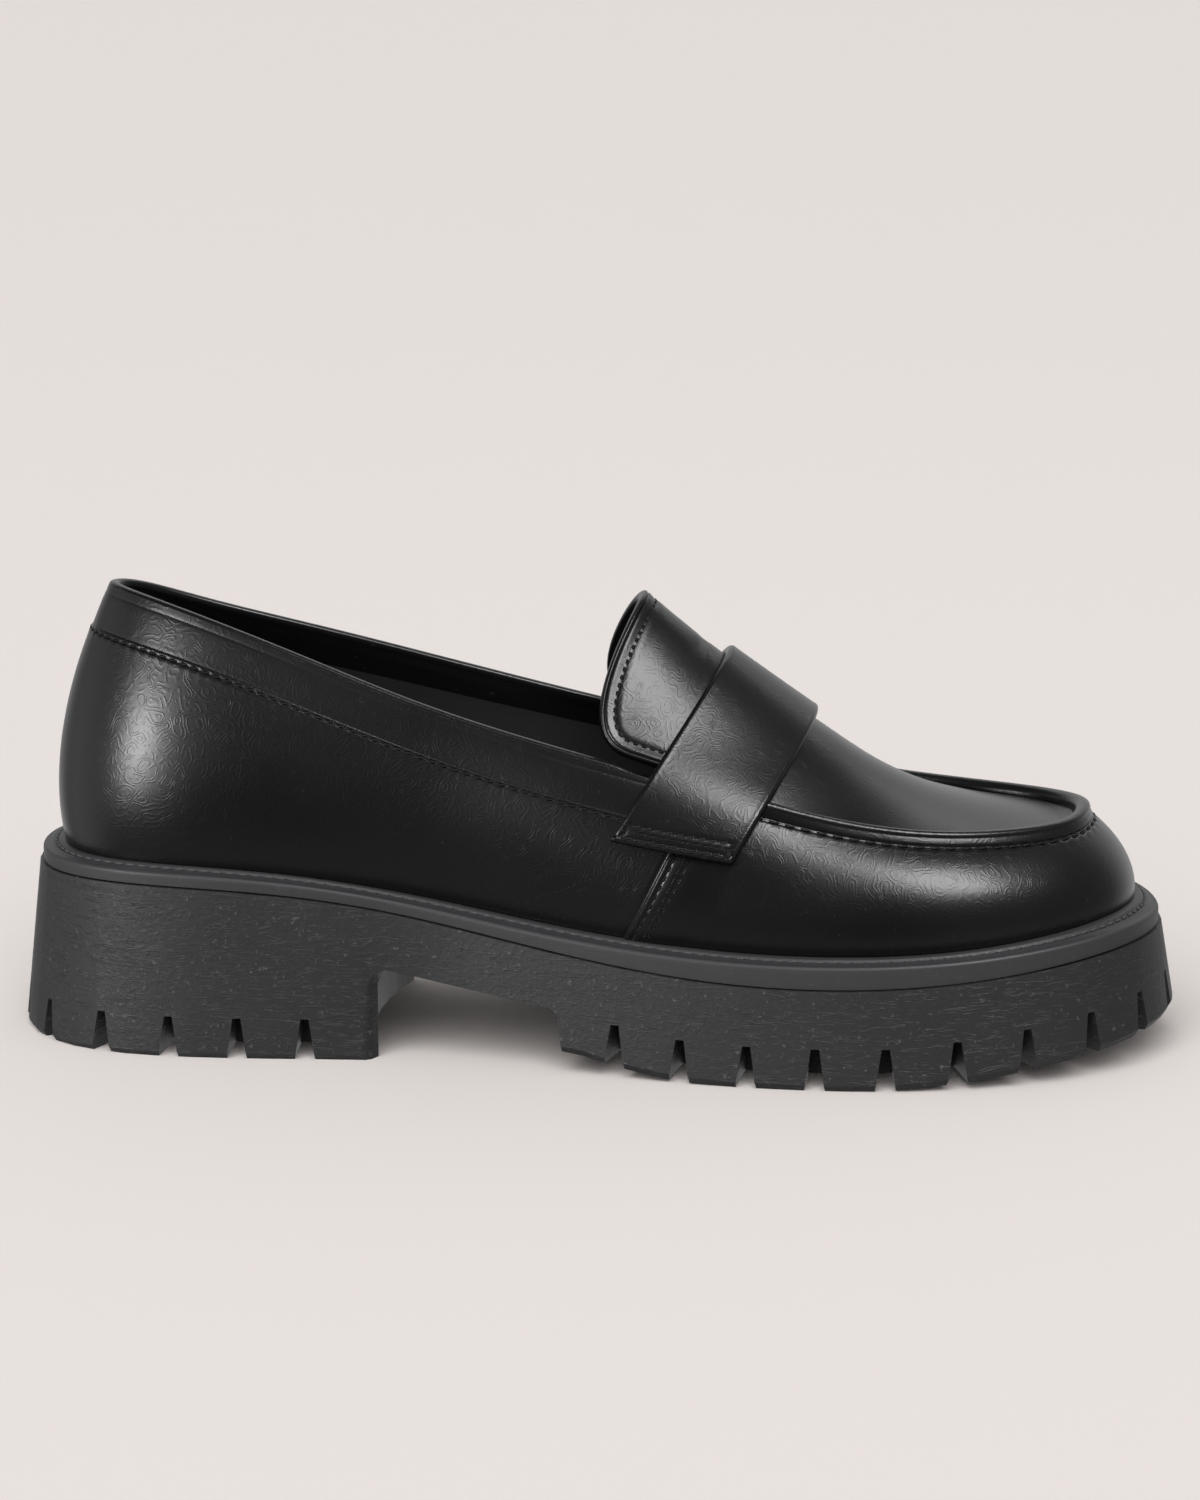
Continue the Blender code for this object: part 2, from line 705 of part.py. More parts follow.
def chevron_bars():
    """The bars in the middle of the tread, one for each pair of side lugs."""
    mesh = bmesh.new()
    for x in HEEL_BARS + FORE_BARS:
        (_, lateral, medial), *_ = middle_line(x, x, CHANNEL_INSET + BAR_SIDE_GAP)
        half = BAR_LENGTH / 2
        middle = (lateral + medial) / 2
        outline = [
            (x - half, lateral),
            (x - half + BAR_POINT, middle),
            (x - half, medial),
            (x + half, medial),
            (x + half + BAR_POINT, middle),
            (x + half, lateral),
        ]
        foot = float(tread_height(x))
        rings = []
        for rise, spread in ((0.0, 0.92), (POCKET_DEPTH + 1.0, 1.0)):
            rings.append(
                add_ring(
                    mesh,
                    [
                        (x + (px - x) * spread, middle + (py - middle) * spread, foot + rise)
                        for px, py in outline
                    ],
                )
            )
        band(mesh, *rings)
        for ring in rings:
            mesh.faces.new((ring[0], ring[1], ring[4], ring[5]))
            mesh.faces.new((ring[1], ring[2], ring[3], ring[4]))
    return helper("chevron_bars", mesh)


def make_outsole(rubber):
    """The outsole: heel and forefoot lugs, arch and sidewall, moulded as one."""
    mesh = bmesh.new()
    top = sole_line(-SIDE_STEP, band_foot)
    lower = lug_line()
    lower[:, 2] += LUG_CHAMFER * 1.6
    lines = [top]
    for share in (0.35, 0.7):
        middle = top * (1 - share) + lower * share
        lines.append(middle)
    lines.append(lower)
    lines.append(lug_line(LUG_CHAMFER))
    rings = [add_ring(mesh, line) for line in lines]
    for high, low in zip(rings, rings[1:]):
        band(mesh, low, high)
    ladder(mesh, rings[0])
    ladder(mesh, rings[-1])
    sole = finished("outsole", mesh, rubber)
    steps = (
        ("arch", "DIFFERENCE", arch_cutter()),
        ("notches", "DIFFERENCE", notch_cutter()),
        ("pockets", "DIFFERENCE", pocket_cutter()),
        ("bars", "UNION", chevron_bars()),
    )
    for name, operation, tool in steps:
        cut = sole.modifiers.new(name, "BOOLEAN")
        cut.operation = operation
        cut.object = tool
    return sole


def centre_of_sole():
    """The middle of the sole's outline, which the model's origin goes under."""
    line = lug_line()
    low, high = line.min(0), line.max(0)
    return (low[0] + high[0]) / 2, (low[1] + high[1]) / 2


def main():
    for old in list(bpy.data.objects):
        bpy.data.objects.remove(old)
    leather = material("black_leather", (0.012, 0.012, 0.013), 0.38)
    rubber = material("charcoal_rubber", (0.045, 0.047, 0.05), 0.7)
    lining = material("black_lining", (0.01, 0.01, 0.01), 0.8)
    pieces = [
        make_outsole(rubber),
        make_welt(rubber),
        make_insole(lining),
        make_upper(leather),
        make_tongue(leather),
        make_strap(leather),
    ]
    shoe = bpy.data.objects.new("shoe", None)
    bpy.context.scene.collection.objects.link(shoe)
    for made in bpy.data.objects:
        if made is not shoe:
            made.parent = shoe
    x, y = centre_of_sole()
    shoe.location = (-x * MM, -y * MM, 0)
    return pieces


main()
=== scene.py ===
"""Chunky lug sole loafer, dressed: the leather, seams, stitches, rubber and the studio round the shoe.

The pieces are cut as flat nets (grids and spheres) and pulled over the same last as the solids.
Sizes are in millimetres and turned into metres when a mesh is written. The toe points along +X and
the outer side of the foot faces -Y. Lines round the shoe are read at u, counted in stations: 0 is
the back of the heel, 11 the tip of the toe, and from 11 to 22 the line comes back along the medial
side.
"""

import math

import bmesh
import bpy
import numpy as np
from bpy.props import FloatProperty, FloatVectorProperty, PointerProperty
from mathutils import Matrix, Vector
from mathutils.kdtree import KDTree


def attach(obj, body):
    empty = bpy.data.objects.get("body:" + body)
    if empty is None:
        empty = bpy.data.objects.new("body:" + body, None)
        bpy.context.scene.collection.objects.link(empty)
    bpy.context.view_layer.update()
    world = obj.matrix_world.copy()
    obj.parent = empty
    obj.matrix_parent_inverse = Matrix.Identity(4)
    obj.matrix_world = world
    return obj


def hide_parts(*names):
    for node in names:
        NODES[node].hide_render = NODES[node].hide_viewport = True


bl_info = {
    "name": "Lug Sole Loafer",
    "version": (1, 0, 0),
    "blender": (4, 5, 0),
    "location": "3D View > Sidebar > Loafer",
    "description": "Dresses the packed loafer with leather, stitching and scored rubber",
    "category": "Object",
}

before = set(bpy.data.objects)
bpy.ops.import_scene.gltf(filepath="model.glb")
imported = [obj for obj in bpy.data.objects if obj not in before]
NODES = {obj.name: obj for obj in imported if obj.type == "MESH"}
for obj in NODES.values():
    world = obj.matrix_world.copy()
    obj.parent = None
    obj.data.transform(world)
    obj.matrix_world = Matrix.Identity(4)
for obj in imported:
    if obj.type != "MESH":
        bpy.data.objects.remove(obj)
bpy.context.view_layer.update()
MM = 0.001

# The last, much as in the part's source
TOUCH_GAP = 0.3  # between two solids that touch
WALL = 2.2  # thickness of the upper
FEATHER = (
    # x, lateral half width, medial half width, height
    (-129.8, 0.0, 0.0, 45.6),
    (-122.5, 21.0, 20.0, 45.4),
    (-101.0, 31.2, 29.5, 45.1),
    (-70.0, 31.8, 29.0, 43.0),
    (-38.0, 31.6, 26.8, 38.2),
    (-6.0, 37.5, 29.0, 33.4),
    (28.0, 44.5, 35.5, 30.3),
    (62.0, 47.5, 40.5, 29.8),
    (92.0, 43.5, 39.5, 31.4),
    (114.5, 31.5, 30.5, 33.8),
    (126.0, 16.5, 16.5, 35.0),
    (129.8, 0.0, 0.0, 35.0),
)
TOP = (
    # x, lateral half width, medial half width, lateral height, medial height
    (-118.0, 0.0, 0.0, 107.0, 107.0),
    (-112.0, 11.5, 11.0, 106.6, 104.9),
    (-95.0, 20.0, 19.5, 102.6, 98.9),
    (-68.0, 25.5, 24.5, 93.6, 91.6),
    (-38.0, 29.0, 27.0, 82.8, 83.8),
    (-6.0, 33.5, 31.0, 74.0, 75.2),
    (27.0, 36.5, 34.5, 65.8, 66.4),
    (58.0, 36.0, 33.0, 57.8, 57.8),
    (84.0, 33.0, 30.5, 54.4, 54.2),
    (105.0, 24.0, 23.0, 53.9, 53.6),
    (115.0, 13.0, 12.5, 54.3, 54.2),
    (118.0, 0.0, 0.0, 54.9, 54.9),
)
BULGE = (
    # low out, low up, high out, high down
    (3.7, 17.0, 11.0, 21.5),
    (3.7, 17.0, 10.5, 21.0),
    (3.5, 16.0, 9.0, 20.0),
    (3.0, 14.0, 6.5, 17.0),
    (3.0, 12.0, 6.0, 15.0),
    (3.0, 11.0, 6.5, 13.0),
    (3.0, 10.0, 7.5, 11.0),
    (2.8, 9.0, 9.0, 7.0),
    (2.4, 8.5, 9.0, 5.0),
    (1.6, 8.0, 7.5, 4.5),
    (1.0, 8.0, 6.2, 4.2),
    (0.8, 8.0, 6.0, 4.0),
)
CREST = (
    # station, x, height
    (4.0, -6.0, 120.4),
    (4.8, 11.6, 107.2),
    (5.5, 28.3, 93.7),
    (6.0, 41.5, 84.0),
    (6.5, 54.6, 74.8),
    (7.0, 67.5, 66.3),
    (7.5, 79.0, 60.8),
    (8.0, 89.5, 57.8),
    (9.0, 107.5, 54.3),
    (10.0, 114.0, 53.4),
    (11.0, 116.5, 53.1),
)
SOLE_EDGE = (
    # ledge width, flare of the sidewall below it, drop of the ledge, height of the band
    (5.4, 4.2, 1.2, 4.0),
    (5.0, 3.8, 1.0, 3.6),
    (4.6, 2.8, 1.0, 3.4),
    (4.8, 2.4, 1.0, 3.2),
    (5.2, 2.2, 1.0, 3.2),
    (5.4, 2.5, 1.0, 4.0),
    (5.5, 2.6, 1.0, 5.2),
    (5.5, 2.6, 1.0, 5.6),
    (5.6, 2.6, 1.0, 5.2),
    (5.8, 2.8, 1.3, 4.6),
    (5.8, 3.0, 1.9, 4.2),
    (5.8, 3.2, 2.3, 4.0),
)
STATION_COUNT = len(FEATHER) - 1
ROUND = 2 * STATION_COUNT
COLLAR_BAND = 10.6  # the seam's distance below the collar's edge
LIP_STARTS, LIP_IS_FULL = 6.05, 6.4
EDGE_WIDTH = ((5.4, 2.0), (5.65, 2.0), (6.5, 2.2), (6.7, 2.4))  # station, width of the rolled edge
EDGE_REACH = 1.25  # the rolled edge reaches this many of its widths inward
SIDE_STEP = 0.8  # the sidewall stands out from the band
STRAP_WIDTH, STRAP_THICKNESS = 26.3, 2.6
STRAP_MIDDLE_X, STRAP_MIDDLE_HEIGHT, STRAP_LEAN, STRAP_END = 40.3, 82.5, 0.655, 0.595
TONGUE_THICKNESS = 2.8

# What only the dressed shoe has
SEAM_FOOT, SEAM_LEAN = 5.477, 0.547  # the side seam's station at the sole, and how it leans
SEAM_REACH = 0.9  # stations over which the net follows the side seam
VAMP_OVERLAP = 0.75  # the vamp's edge lies on the quarter
LIP_SEAM, LIP_SWELL = 1.7, 1.15  # the seam's distance below the lip, and how far the lip swells out
LIP_GROOVE = 0.3  # depth of the seam that the lip rises from
COLLAR_STEP = 0.22  # the collar's band lies lower than the quarter, at the seam
COLLAR_PITCH, APRON_PITCH, SIDE_PITCH, TONGUE_PITCH = 2.9, 3.8, 2.6, 2.1  # a stitch with its gap
BOX_PITCH, BOX_SIDE_PITCH = 2.7, 1.55
COLLAR_THREAD_BELOW, APRON_THREAD_BELOW = 0.75, 0.65  # the stitches run this far below the seam
THREAD_SINK = 0.16  # of the long seam's stitches
THREAD_RISE = 0.12  # share of its thickness that a stitch lies above its line
PUCKER, GATHERS = 0.15, 0.02  # how deep a stitch pulls the leather in, and the ripples below it
SIDE_ROWS, SIDE_ROW_ENDS = (1.5, 4.7), (0.03, 0.6)  # the stitch rows in front of the side seam
SIDE_ROW_DEPTH = 0.12
STATION_LENGTH = 34.0  # millimetres between two stations, at the side seam
COLLAR_SEWN_TO, APRON_SEWN_FROM = 5.62, 6.42  # stations where the collar's stitches end and the lip's start
PITCH_CHANGES = 5.9  # station, under the strap
LAST_STITCH = 10.98  # station at the toe
APRON_TUCK, APRON_CLEARANCE, APRON_THICKNESS = 0.75, 0.05, 1.7  # the tuck is at its edge
TONGUE_TIP, TONGUE_FOOT, TONGUE_SHARE = 4.8, 5.88, 0.95  # stations, and the share of the throat it fills
TONGUE_ROUNDING, TONGUE_CORNER = 0.68, 2.3  # stations over which its end rounds, and how squarely
TONGUE_HOLLOW, TONGUE_SKEW = 0.09, 0.1  # stations its corners reach further back: both, the medial one
TONGUE_MIDDLE = (5.42, 0.0)  # station and w
TONGUE_DIP = -0.2  # height of its middle over the instep
TONGUE_POINTS, TONGUE_SEWN = 260, (6, 253)  # of its outline without the foot: all, and the sewn ones
TONGUE_STITCH_INSET, TONGUE_STITCH_DEPTH = 3.7, 0.34
STITCH_DEPTH = 0.2  # of a stitch's hole, in the leather's finish
NO_STITCH = (0.0, 9.0)  # the stitch attribute away from any seam: stitches run, millimetres aside
STRAP_STATIONS, STRAP_HALVINGS = (3.5, 8.5), 22  # where its line is looked for, and how many times
STRAP_SMOOTHING = 5.5  # half millimetres
STRAP_EASE = 13.0  # half millimetres over which the strap is eased round the throat's edge
STRAP_BRIDGE = 0.3  # the strap's share of the way to the crest that it spans freely beside the edge
STRAP_FOLD = 1.15  # radius of its folded edges
STRAP_LIFT, STRAP_SPRING = 0.45, 0.25  # its height over the upper, and how much more the middle has
BOX_ROWS, BOX_SIDES = (1.7, 4.8), (2.3, 2.3)  # the stitched box at the strap's ends
BOX_ROW_DEPTH, OUTER_ROW_DEPTH = 0.16, 0.22
WELT_STITCH_INSET, WELT_PITCH = 3.3, 3.1
BAND_ROUNDING = 0.9  # radius of the welt band's upper edge
EDGE_SOFTNESS = 0.45  # of the rubber's cut edges
CUT_DEGREES, FLAT_DEGREES = 38, 1.5  # edges sharper than this are cut edges, and flatter than this none
FLOOR_HALF = 30.0  # metres, half of the studio floor's side
BACKDROP = (0.75, 0.7, 0.675)  # the paper beyond the floor
SOFT_BOXES = (
    # name, azimuth, elevation, distance, width and height, radiance
    ("key", 42, 53, 1.3, (0.56, 0.56), 14.0),
    ("side", -46, 14, 1.2, (0.28, 0.4), 24.0),
    ("rim", 172, 40, 1.3, (1.2, 0.2), 1.5),
)
SUN_STRENGTH, SUN_DEGREES, SUN_PLACE = 2.6, 60, (-8, 43)  # its width, its azimuth and elevation
CAMERA_LENS, CAMERA_SENSOR = 99.4, 36.0
CAMERA_PLACE = (4.5, 12.0, 1.0, (0.0011, 0.00326, 0.0678))  # azimuth, elevation, distance, target
LIGHT_TARGET = (0.0, 0.0, 0.05)
ROOM_LIGHT = 0.4
GLOSSY_ROOM = (
    # an axis, two places on it, and the light that gloss sees there: behind, below, right, left
    ("Y", 0.45, 0.97, 0.06, 0.72),
    ("Z", -0.6, -0.1, 0.2, 0.0),
    ("X", 0.1, 0.6, 0.0, 0.13),
    ("X", -1.0, -0.75, 0.6, 0.0),
)


def hermite(first, first_slope, second, second_slope, s):
    """The smooth curve between two points, read at s from 0 to 1."""
    return (
        first * (1 + 2 * s) * (1 - s) ** 2
        + first_slope * s * (1 - s) ** 2
        + second * s * s * (3 - 2 * s)
        + second_slope * s * s * (s - 1)
    )


def closed_spline(knots, u):
    """The smooth closed line through knots, one a station, read at u."""
    knots = np.asarray(knots, float)
    count = len(knots)
    unit = np.eye(count)
    system = 4 * unit + np.roll(unit, 1, 0) + np.roll(unit, -1, 0)
    slopes = np.linalg.solve(system, 3 * (np.roll(knots, -1, 0) - np.roll(knots, 1, 0)))
    u = np.asarray(u, float) % count
    first = np.floor(u).astype(int) % count
    second = (first + 1) % count
    s = (u - np.floor(u))[..., None]
    return hermite(knots[first], slopes[first], knots[second], slopes[second], s)


def both_sides(rows):
    return list(rows) + list(rows[-2:0:-1])


def side_knots(rows):
    """(x, y, z) knots round the shoe from rows of x, two half widths and one or two heights."""
    lateral = [(row[0], -row[1], row[3]) for row in rows]
    medial = [(row[0], row[2], row[-1]) for row in rows[-2:0:-1]]
    return lateral + medial


FEATHER_KNOTS = side_knots(FEATHER)
TOP_KNOTS = side_knots(TOP)
BULGE_KNOTS = both_sides(BULGE)
EDGE_KNOTS = both_sides(SOLE_EDGE)


def unit_vectors(v):
    return v / np.maximum(np.linalg.norm(v, axis=-1, keepdims=True), 1e-9)


def smooth_step(low, high, x):
    s = np.clip((x - low) / (high - low), 0, 1)
    return s * s * (3 - 2 * s)


def hump(x, middle, width):
    """A soft ridge, 1 at its middle."""
    return np.exp(-(((x - middle) / width) ** 2))


def outward(knots, u):
    """The level direction that points out of a line round the shoe."""
    along = closed_spline(knots, np.asarray(u) + 0.01) - closed_spline(knots, np.asarray(u) - 0.01)
    return unit_vectors(np.stack([along[..., 1], -along[..., 0], 0 * along[..., 0]], -1))


def wall(u, t):
    """The outside of the upper at u, from the feather line (t = 0) to the top line (t = 1)."""
    low = closed_spline(FEATHER_KNOTS, u) + (0, 0, TOUCH_GAP)
    high = closed_spline(TOP_KNOTS, u)
    bulge = closed_spline(BULGE_KNOTS, u)
    up = np.array((0.0, 0.0, 1.0))
    low_handle = low + outward(FEATHER_KNOTS, u) * bulge[..., 0:1] + up * bulge[..., 1:2]
    high_handle = high + outward(TOP_KNOTS, u) * bulge[..., 2:3] - up * bulge[..., 3:4]
    t = np.asarray(t, float)[..., None]
    return (
        low * (1 - t) ** 3
        + low_handle * 3 * t * (1 - t) ** 2
        + high_handle * 3 * t * t * (1 - t)
        + high * t**3
    )


def wall_normal(u, t):
    t = np.clip(t, 0.01, 0.99)
    along = wall(u + 0.01, t) - wall(u - 0.01, t)
    rising = wall(u, t + 0.01) - wall(u, t - 0.01)
    return unit_vectors(np.cross(along, rising))


def station_of(u):
    """The station on either side, from 0 at the heel to the last at the toe."""
    u = np.asarray(u, float) % ROUND
    return np.minimum(u, ROUND - u)


def lip_share(u):
    """0 along the collar and under the strap, 1 where the lip round the apron is full."""
    return smooth_step(LIP_STARTS, LIP_IS_FULL, station_of(u))


def millimetre(u):
    """The share of the wall's height that one millimetre is, near its top."""
    bulge = closed_spline(BULGE_KNOTS, u)
    return 1 / (3 * np.hypot(bulge[..., 2], bulge[..., 3]))


def seam_at(u):
    """Where up the wall the seam under the collar, and under the lip, runs."""
    return 1 - (COLLAR_BAND + (LIP_SEAM - COLLAR_BAND) * lip_share(u)) * millimetre(u)


def top_edge(u, across, rise):
    """A line along the top edge: across is millimetres in from it, rise millimetres above it."""
    inward = -outward(TOP_KNOTS, u)
    across, rise = np.asarray(across)[..., None], np.asarray(rise)[..., None]
    return closed_spline(TOP_KNOTS, u) + inward * across + np.array((0, 0, 1.0)) * rise


def edge_width(u):
    stations, widths = zip(*EDGE_WIDTH)
    return np.interp(station_of(u), stations, widths)


def arch_edge(u):
    """The inner foot of the rolled edge, where the apron's leather starts."""
    return top_edge(u, EDGE_REACH * edge_width(u), 0.0 * station_of(u))


def crest(station):
    """The highest line of the instep: x and height at a station."""
    rows = np.array(CREST)
    stations, places = rows[:, 0], rows[:, 1:]
    slopes = np.gradient(places, stations, axis=0)
    k = np.clip(np.searchsorted(stations, station, "right") - 1, 0, len(rows) - 2)
    gap = (stations[k + 1] - stations[k])[..., None]
    s = (station - stations[k])[..., None] / gap
    return hermite(places[k], slopes[k] * gap, places[k + 1], slopes[k + 1] * gap, s)


def arch(station, w):
    """The instep over the foot: w runs from -1 at the lateral edge to 1 at the medial."""
    station, w = np.broadcast_arrays(np.asarray(station, float), np.asarray(w, float))
    lateral, medial = arch_edge(station), arch_edge(ROUND - station)
    middle, half = (lateral + medial) / 2, (medial - lateral) / 2
    place = crest(station)
    top = np.stack([place[..., 0], middle[..., 1] * 0.5, place[..., 1]], -1)
    closing = smooth_step(9.0, 11.0, station)[..., None]
    tip = arch_edge(np.array(float(STATION_COUNT)))
    ahead = tip - np.array((2.2, 0, 0.3)) * (STATION_COUNT - station)[..., None]
    top = top * (1 - closing) + ahead * closing
    w = w[..., None]
    return middle + half * w + (top - middle) * (1 - w * w)


def arch_normal(station, w):
    along = arch(np.minimum(station + 0.02, STATION_COUNT), w) - arch(station - 0.02, w)
    across = arch(station, w + 0.02) - arch(station, w - 0.02)
    return unit_vectors(np.cross(along, across))


def skin(station, v):
    """The line over the shoe at a station: v is 0 at the lateral feather line, 1 at the lateral
    top line, 2 at the crest, 3 at the medial top line and 4 at the medial feather line."""
    lateral = wall(station, np.clip(v, 0, 1))
    medial = wall(ROUND - station, np.clip(4.0 - v, 0, 1))
    over = arch(station, np.clip(v - 2.0, -1, 1))
    v = v[..., None]
    return np.where(v <= 1, lateral, np.where(v >= 3, medial, over))


def sole_line(inset, z_line, u):
    """A line round the sole: inset is measured in from the band's edge."""
    base = closed_spline(FEATHER_KNOTS, u)
    ledge, _, drop, band_height = np.moveaxis(closed_spline(EDGE_KNOTS, u), -1, 0)
    line = base + outward(FEATHER_KNOTS, u) * (ledge - inset)[..., None]
    line[..., 2] = z_line(base[..., 2], drop, band_height)
    return line


def centre_of_sole():
    """The middle of the sole's outline, which the row's origin lies under."""
    u = np.arange(4 * ROUND) * ROUND / (4 * ROUND)
    flare = closed_spline(EDGE_KNOTS, u)[:, 1]
    line = sole_line(-SIDE_STEP - flare, lambda z, *_: z, u)
    low, high = line.min(0), line.max(0)
    return np.array([(low[0] + high[0]) / 2, (low[1] + high[1]) / 2, 0.0])


CENTRE = centre_of_sole()


# Making meshes
def pull(mesh, layers, marks=None):
    """Moves the vertices of a flat net, in their order along its two directions, to points. Each
    layer of points belongs to one height of the net. Marks are the stitch attribute's values."""
    columns, rows = layers[0].shape[:2]
    places = [(points - CENTRE) * MM for points in layers]
    stitch = mesh.verts.layers.float_vector.new("stitch")
    for vert in mesh.verts:
        i = round((vert.co.x + 1) / 2 * (columns - 1))
        j = round((vert.co.y + 1) / 2 * (rows - 1))
        run, gap = NO_STITCH if marks is None else marks[i, j]
        vert[stitch] = (run, gap, 0)
        vert.co = places[round(vert.co.z)][i, j]


def write(name, mesh, finishes, replaces=(), sharp_degrees=60):
    """Turns a bmesh into a finished piece that rides on the shoe."""
    data = bpy.data.meshes.new(name)
    mesh.to_mesh(data)
    mesh.free()
    data.shade_smooth()
    data.set_sharp_from_angle(angle=math.radians(sharp_degrees))
    for label in finishes:
        data.materials.append(finish(label))
    piece = bpy.data.objects.new(name, data)
    bpy.context.scene.collection.objects.link(piece)
    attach(piece, "root")
    if replaces:
        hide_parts(*replaces)
    return piece


def net(columns, rows):
    """A flat net of squares, from -1 to 1 both ways."""
    mesh = bmesh.new()
    bmesh.ops.create_grid(mesh, x_segments=columns - 1, y_segments=rows - 1, size=1.0)
    return mesh


def close_net(mesh, reach=0.004):
    """Sews together the edges of a net that meet, and turns its faces outward."""
    bmesh.ops.remove_doubles(mesh, verts=mesh.verts, dist=reach * MM)
    bmesh.ops.dissolve_degenerate(mesh, edges=mesh.edges, dist=reach * MM)
    bmesh.ops.recalc_face_normals(mesh, faces=mesh.faces)


def two_layers(outer, under, marks=None):
    """A sheet of leather: a net with a second layer, joined all round its edge."""
    mesh = net(*outer.shape[:2])
    made = bmesh.ops.extrude_face_region(mesh, geom=mesh.faces[:])
    for vert in (g for g in made["geom"] if isinstance(g, bmesh.types.BMVert)):
        vert.co.z = 1.0
    pull(mesh, [under, outer], marks)
    return mesh


def clustered(start, end, gaps, middle):
    """Places from start to end that lie close together near both ends: gaps are their distances
    from the ends, and middle is the number of places between those."""
    gaps = np.asarray(gaps)
    between_ends = np.linspace(start + gaps[-1], end - gaps[-1], middle + 2)[1:-1]
    return np.concatenate([start + gaps, between_ends, end - gaps[::-1]])


def running_length(points, axis=0):
    """The distance run along a line of points, or along one direction of a net, at each point."""
    gaps = np.linalg.norm(np.diff(points, axis=axis), axis=-1)
    return np.concatenate([0 * np.take(gaps, [0], axis), np.cumsum(gaps, axis=axis)], axis)


def read_line(line, length, places):
    """A line's values at places along it, where length is the distance run at each of its points."""
    return np.stack([np.interp(places, length, part) for part in line.T], -1)


def upward_normals(points):
    """The normals of a net laid over the shoe, turned out of it."""
    normal = unit_vectors(np.cross(np.gradient(points, axis=1), np.gradient(points, axis=0)))
    return -normal if normal[len(points) // 2, 0, 2] < 0 else normal


# Finishes
def node(tree, kind, **values):
    made = tree.nodes.new(kind)
    for name, value in values.items():
        setattr(made, name, value)
    return made


def link(tree, source, target):
    tree.links.new(source, target)


def set_inputs(made, values):
    for name, number in values.items():
        made.inputs[name].default_value = number


def sum_up(tree, kind, *parts, clamp=False):
    """A Math node on sockets and numbers."""
    made = node(tree, "ShaderNodeMath", operation=kind, use_clamp=clamp)
    for socket, part in zip(made.inputs, parts):
        if isinstance(part, (int, float)):
            socket.default_value = part
        else:
            link(tree, part, socket)
    return made.outputs[0]


def times(tree, product, *parts):
    for part in parts:
        product = sum_up(tree, "MULTIPLY", product, part)
    return product


def between(tree, value, low, high, start=0.0, end=1.0, smooth=True):
    """value, from low to high, brought to a range from start to end."""
    made = node(tree, "ShaderNodeMapRange", interpolation_type="SMOOTHSTEP" if smooth else "LINEAR")
    link(tree, value, made.inputs["Value"])
    set_inputs(made, {"From Min": low, "From Max": high, "To Min": start, "To Max": end})
    return made.outputs["Result"]


def noise(tree, place, scale, detail=1.0, rough=0.5, distortion=0.0):
    made = node(tree, "ShaderNodeTexNoise")
    link(tree, place, made.inputs["Vector"])
    set_inputs(made, {"Scale": scale, "Detail": detail, "Roughness": rough, "Distortion": distortion})
    return made.outputs["Fac"]


def stretched(tree, place, *scales):
    made = node(tree, "ShaderNodeMapping")
    link(tree, place, made.inputs["Vector"])
    made.inputs["Scale"].default_value = scales
    return made.outputs["Vector"]


def stitch_holes(tree):
    """Where a seam's stitches sink into the surface: 1 in the middle of each, from the stitch attribute."""
    given = node(tree, "ShaderNodeAttribute", attribute_name="stitch", attribute_type="GEOMETRY")
    parts = node(tree, "ShaderNodeSeparateXYZ")
    link(tree, given.outputs["Vector"], parts.inputs[0])
    row = between(tree, sum_up(tree, "ABSOLUTE", parts.outputs["Y"]), 0.08, 0.45, 1.0, 0.0)
    wave = sum_up(tree, "COSINE", times(tree, parts.outputs["X"], 2 * math.pi))
    return times(tree, row, between(tree, wave, -0.3, 0.45, 0.05, 1.0))


def calf_grain(tree, place):
    """Calf leather: nested winding wrinkles, fine pores, and lighter flecks as its marks."""
    folds = sum_up(tree, "PINGPONG", times(tree, noise(tree, place, 290.0, 0.2, 0.4, 0.25), 7.5), 0.5)
    ridges = between(tree, folds, 0.2, 0.5)
    breaks = between(tree, noise(tree, place, 480.0), 0.3, 0.5)
    patches = between(tree, noise(tree, place, 40.0), 0.35, 0.6, 0.7, 1.0)
    flecks = between(tree, noise(tree, place, 640.0), 0.74, 0.80)
    return times(tree, ridges, patches, breaks), noise(tree, place, 2400.0), flecks


def rubber_scoring(tree, place):
    """Moulded rubber: long wavy scores along the sole, a crumb, and both of them again as its marks."""
    bands = noise(tree, stretched(tree, place, 50.0, 50.0, 480.0), 1.0, 3.0, 0.6, 0.5)
    lines = sum_up(tree, "PINGPONG", times(tree, bands, 7.0), 0.5)
    breaks = between(tree, noise(tree, stretched(tree, place, 170.0, 170.0, 500.0), 1.0, 2.0), 0.4, 0.56)
    scores = times(tree, between(tree, lines, 0.33, 0.5), breaks)
    crumb = noise(tree, place, 800.0, 2.0, 0.6)
    specks = between(tree, crumb, 0.64, 0.72)
    return scores, crumb, sum_up(tree, "MAXIMUM", times(tree, scores, 0.22), specks)


GROUPS = {
    # what fills the group, its two kinds of relief, and the scale, detail and roughness of its cloud
    "calf grain": (calf_grain, ("Wrinkles", "Pores"), (30.0, 2.0, 0.5)),
    "rubber scoring": (rubber_scoring, ("Scores", "Crumb"), (24.0, 3.0, 0.6)),
}


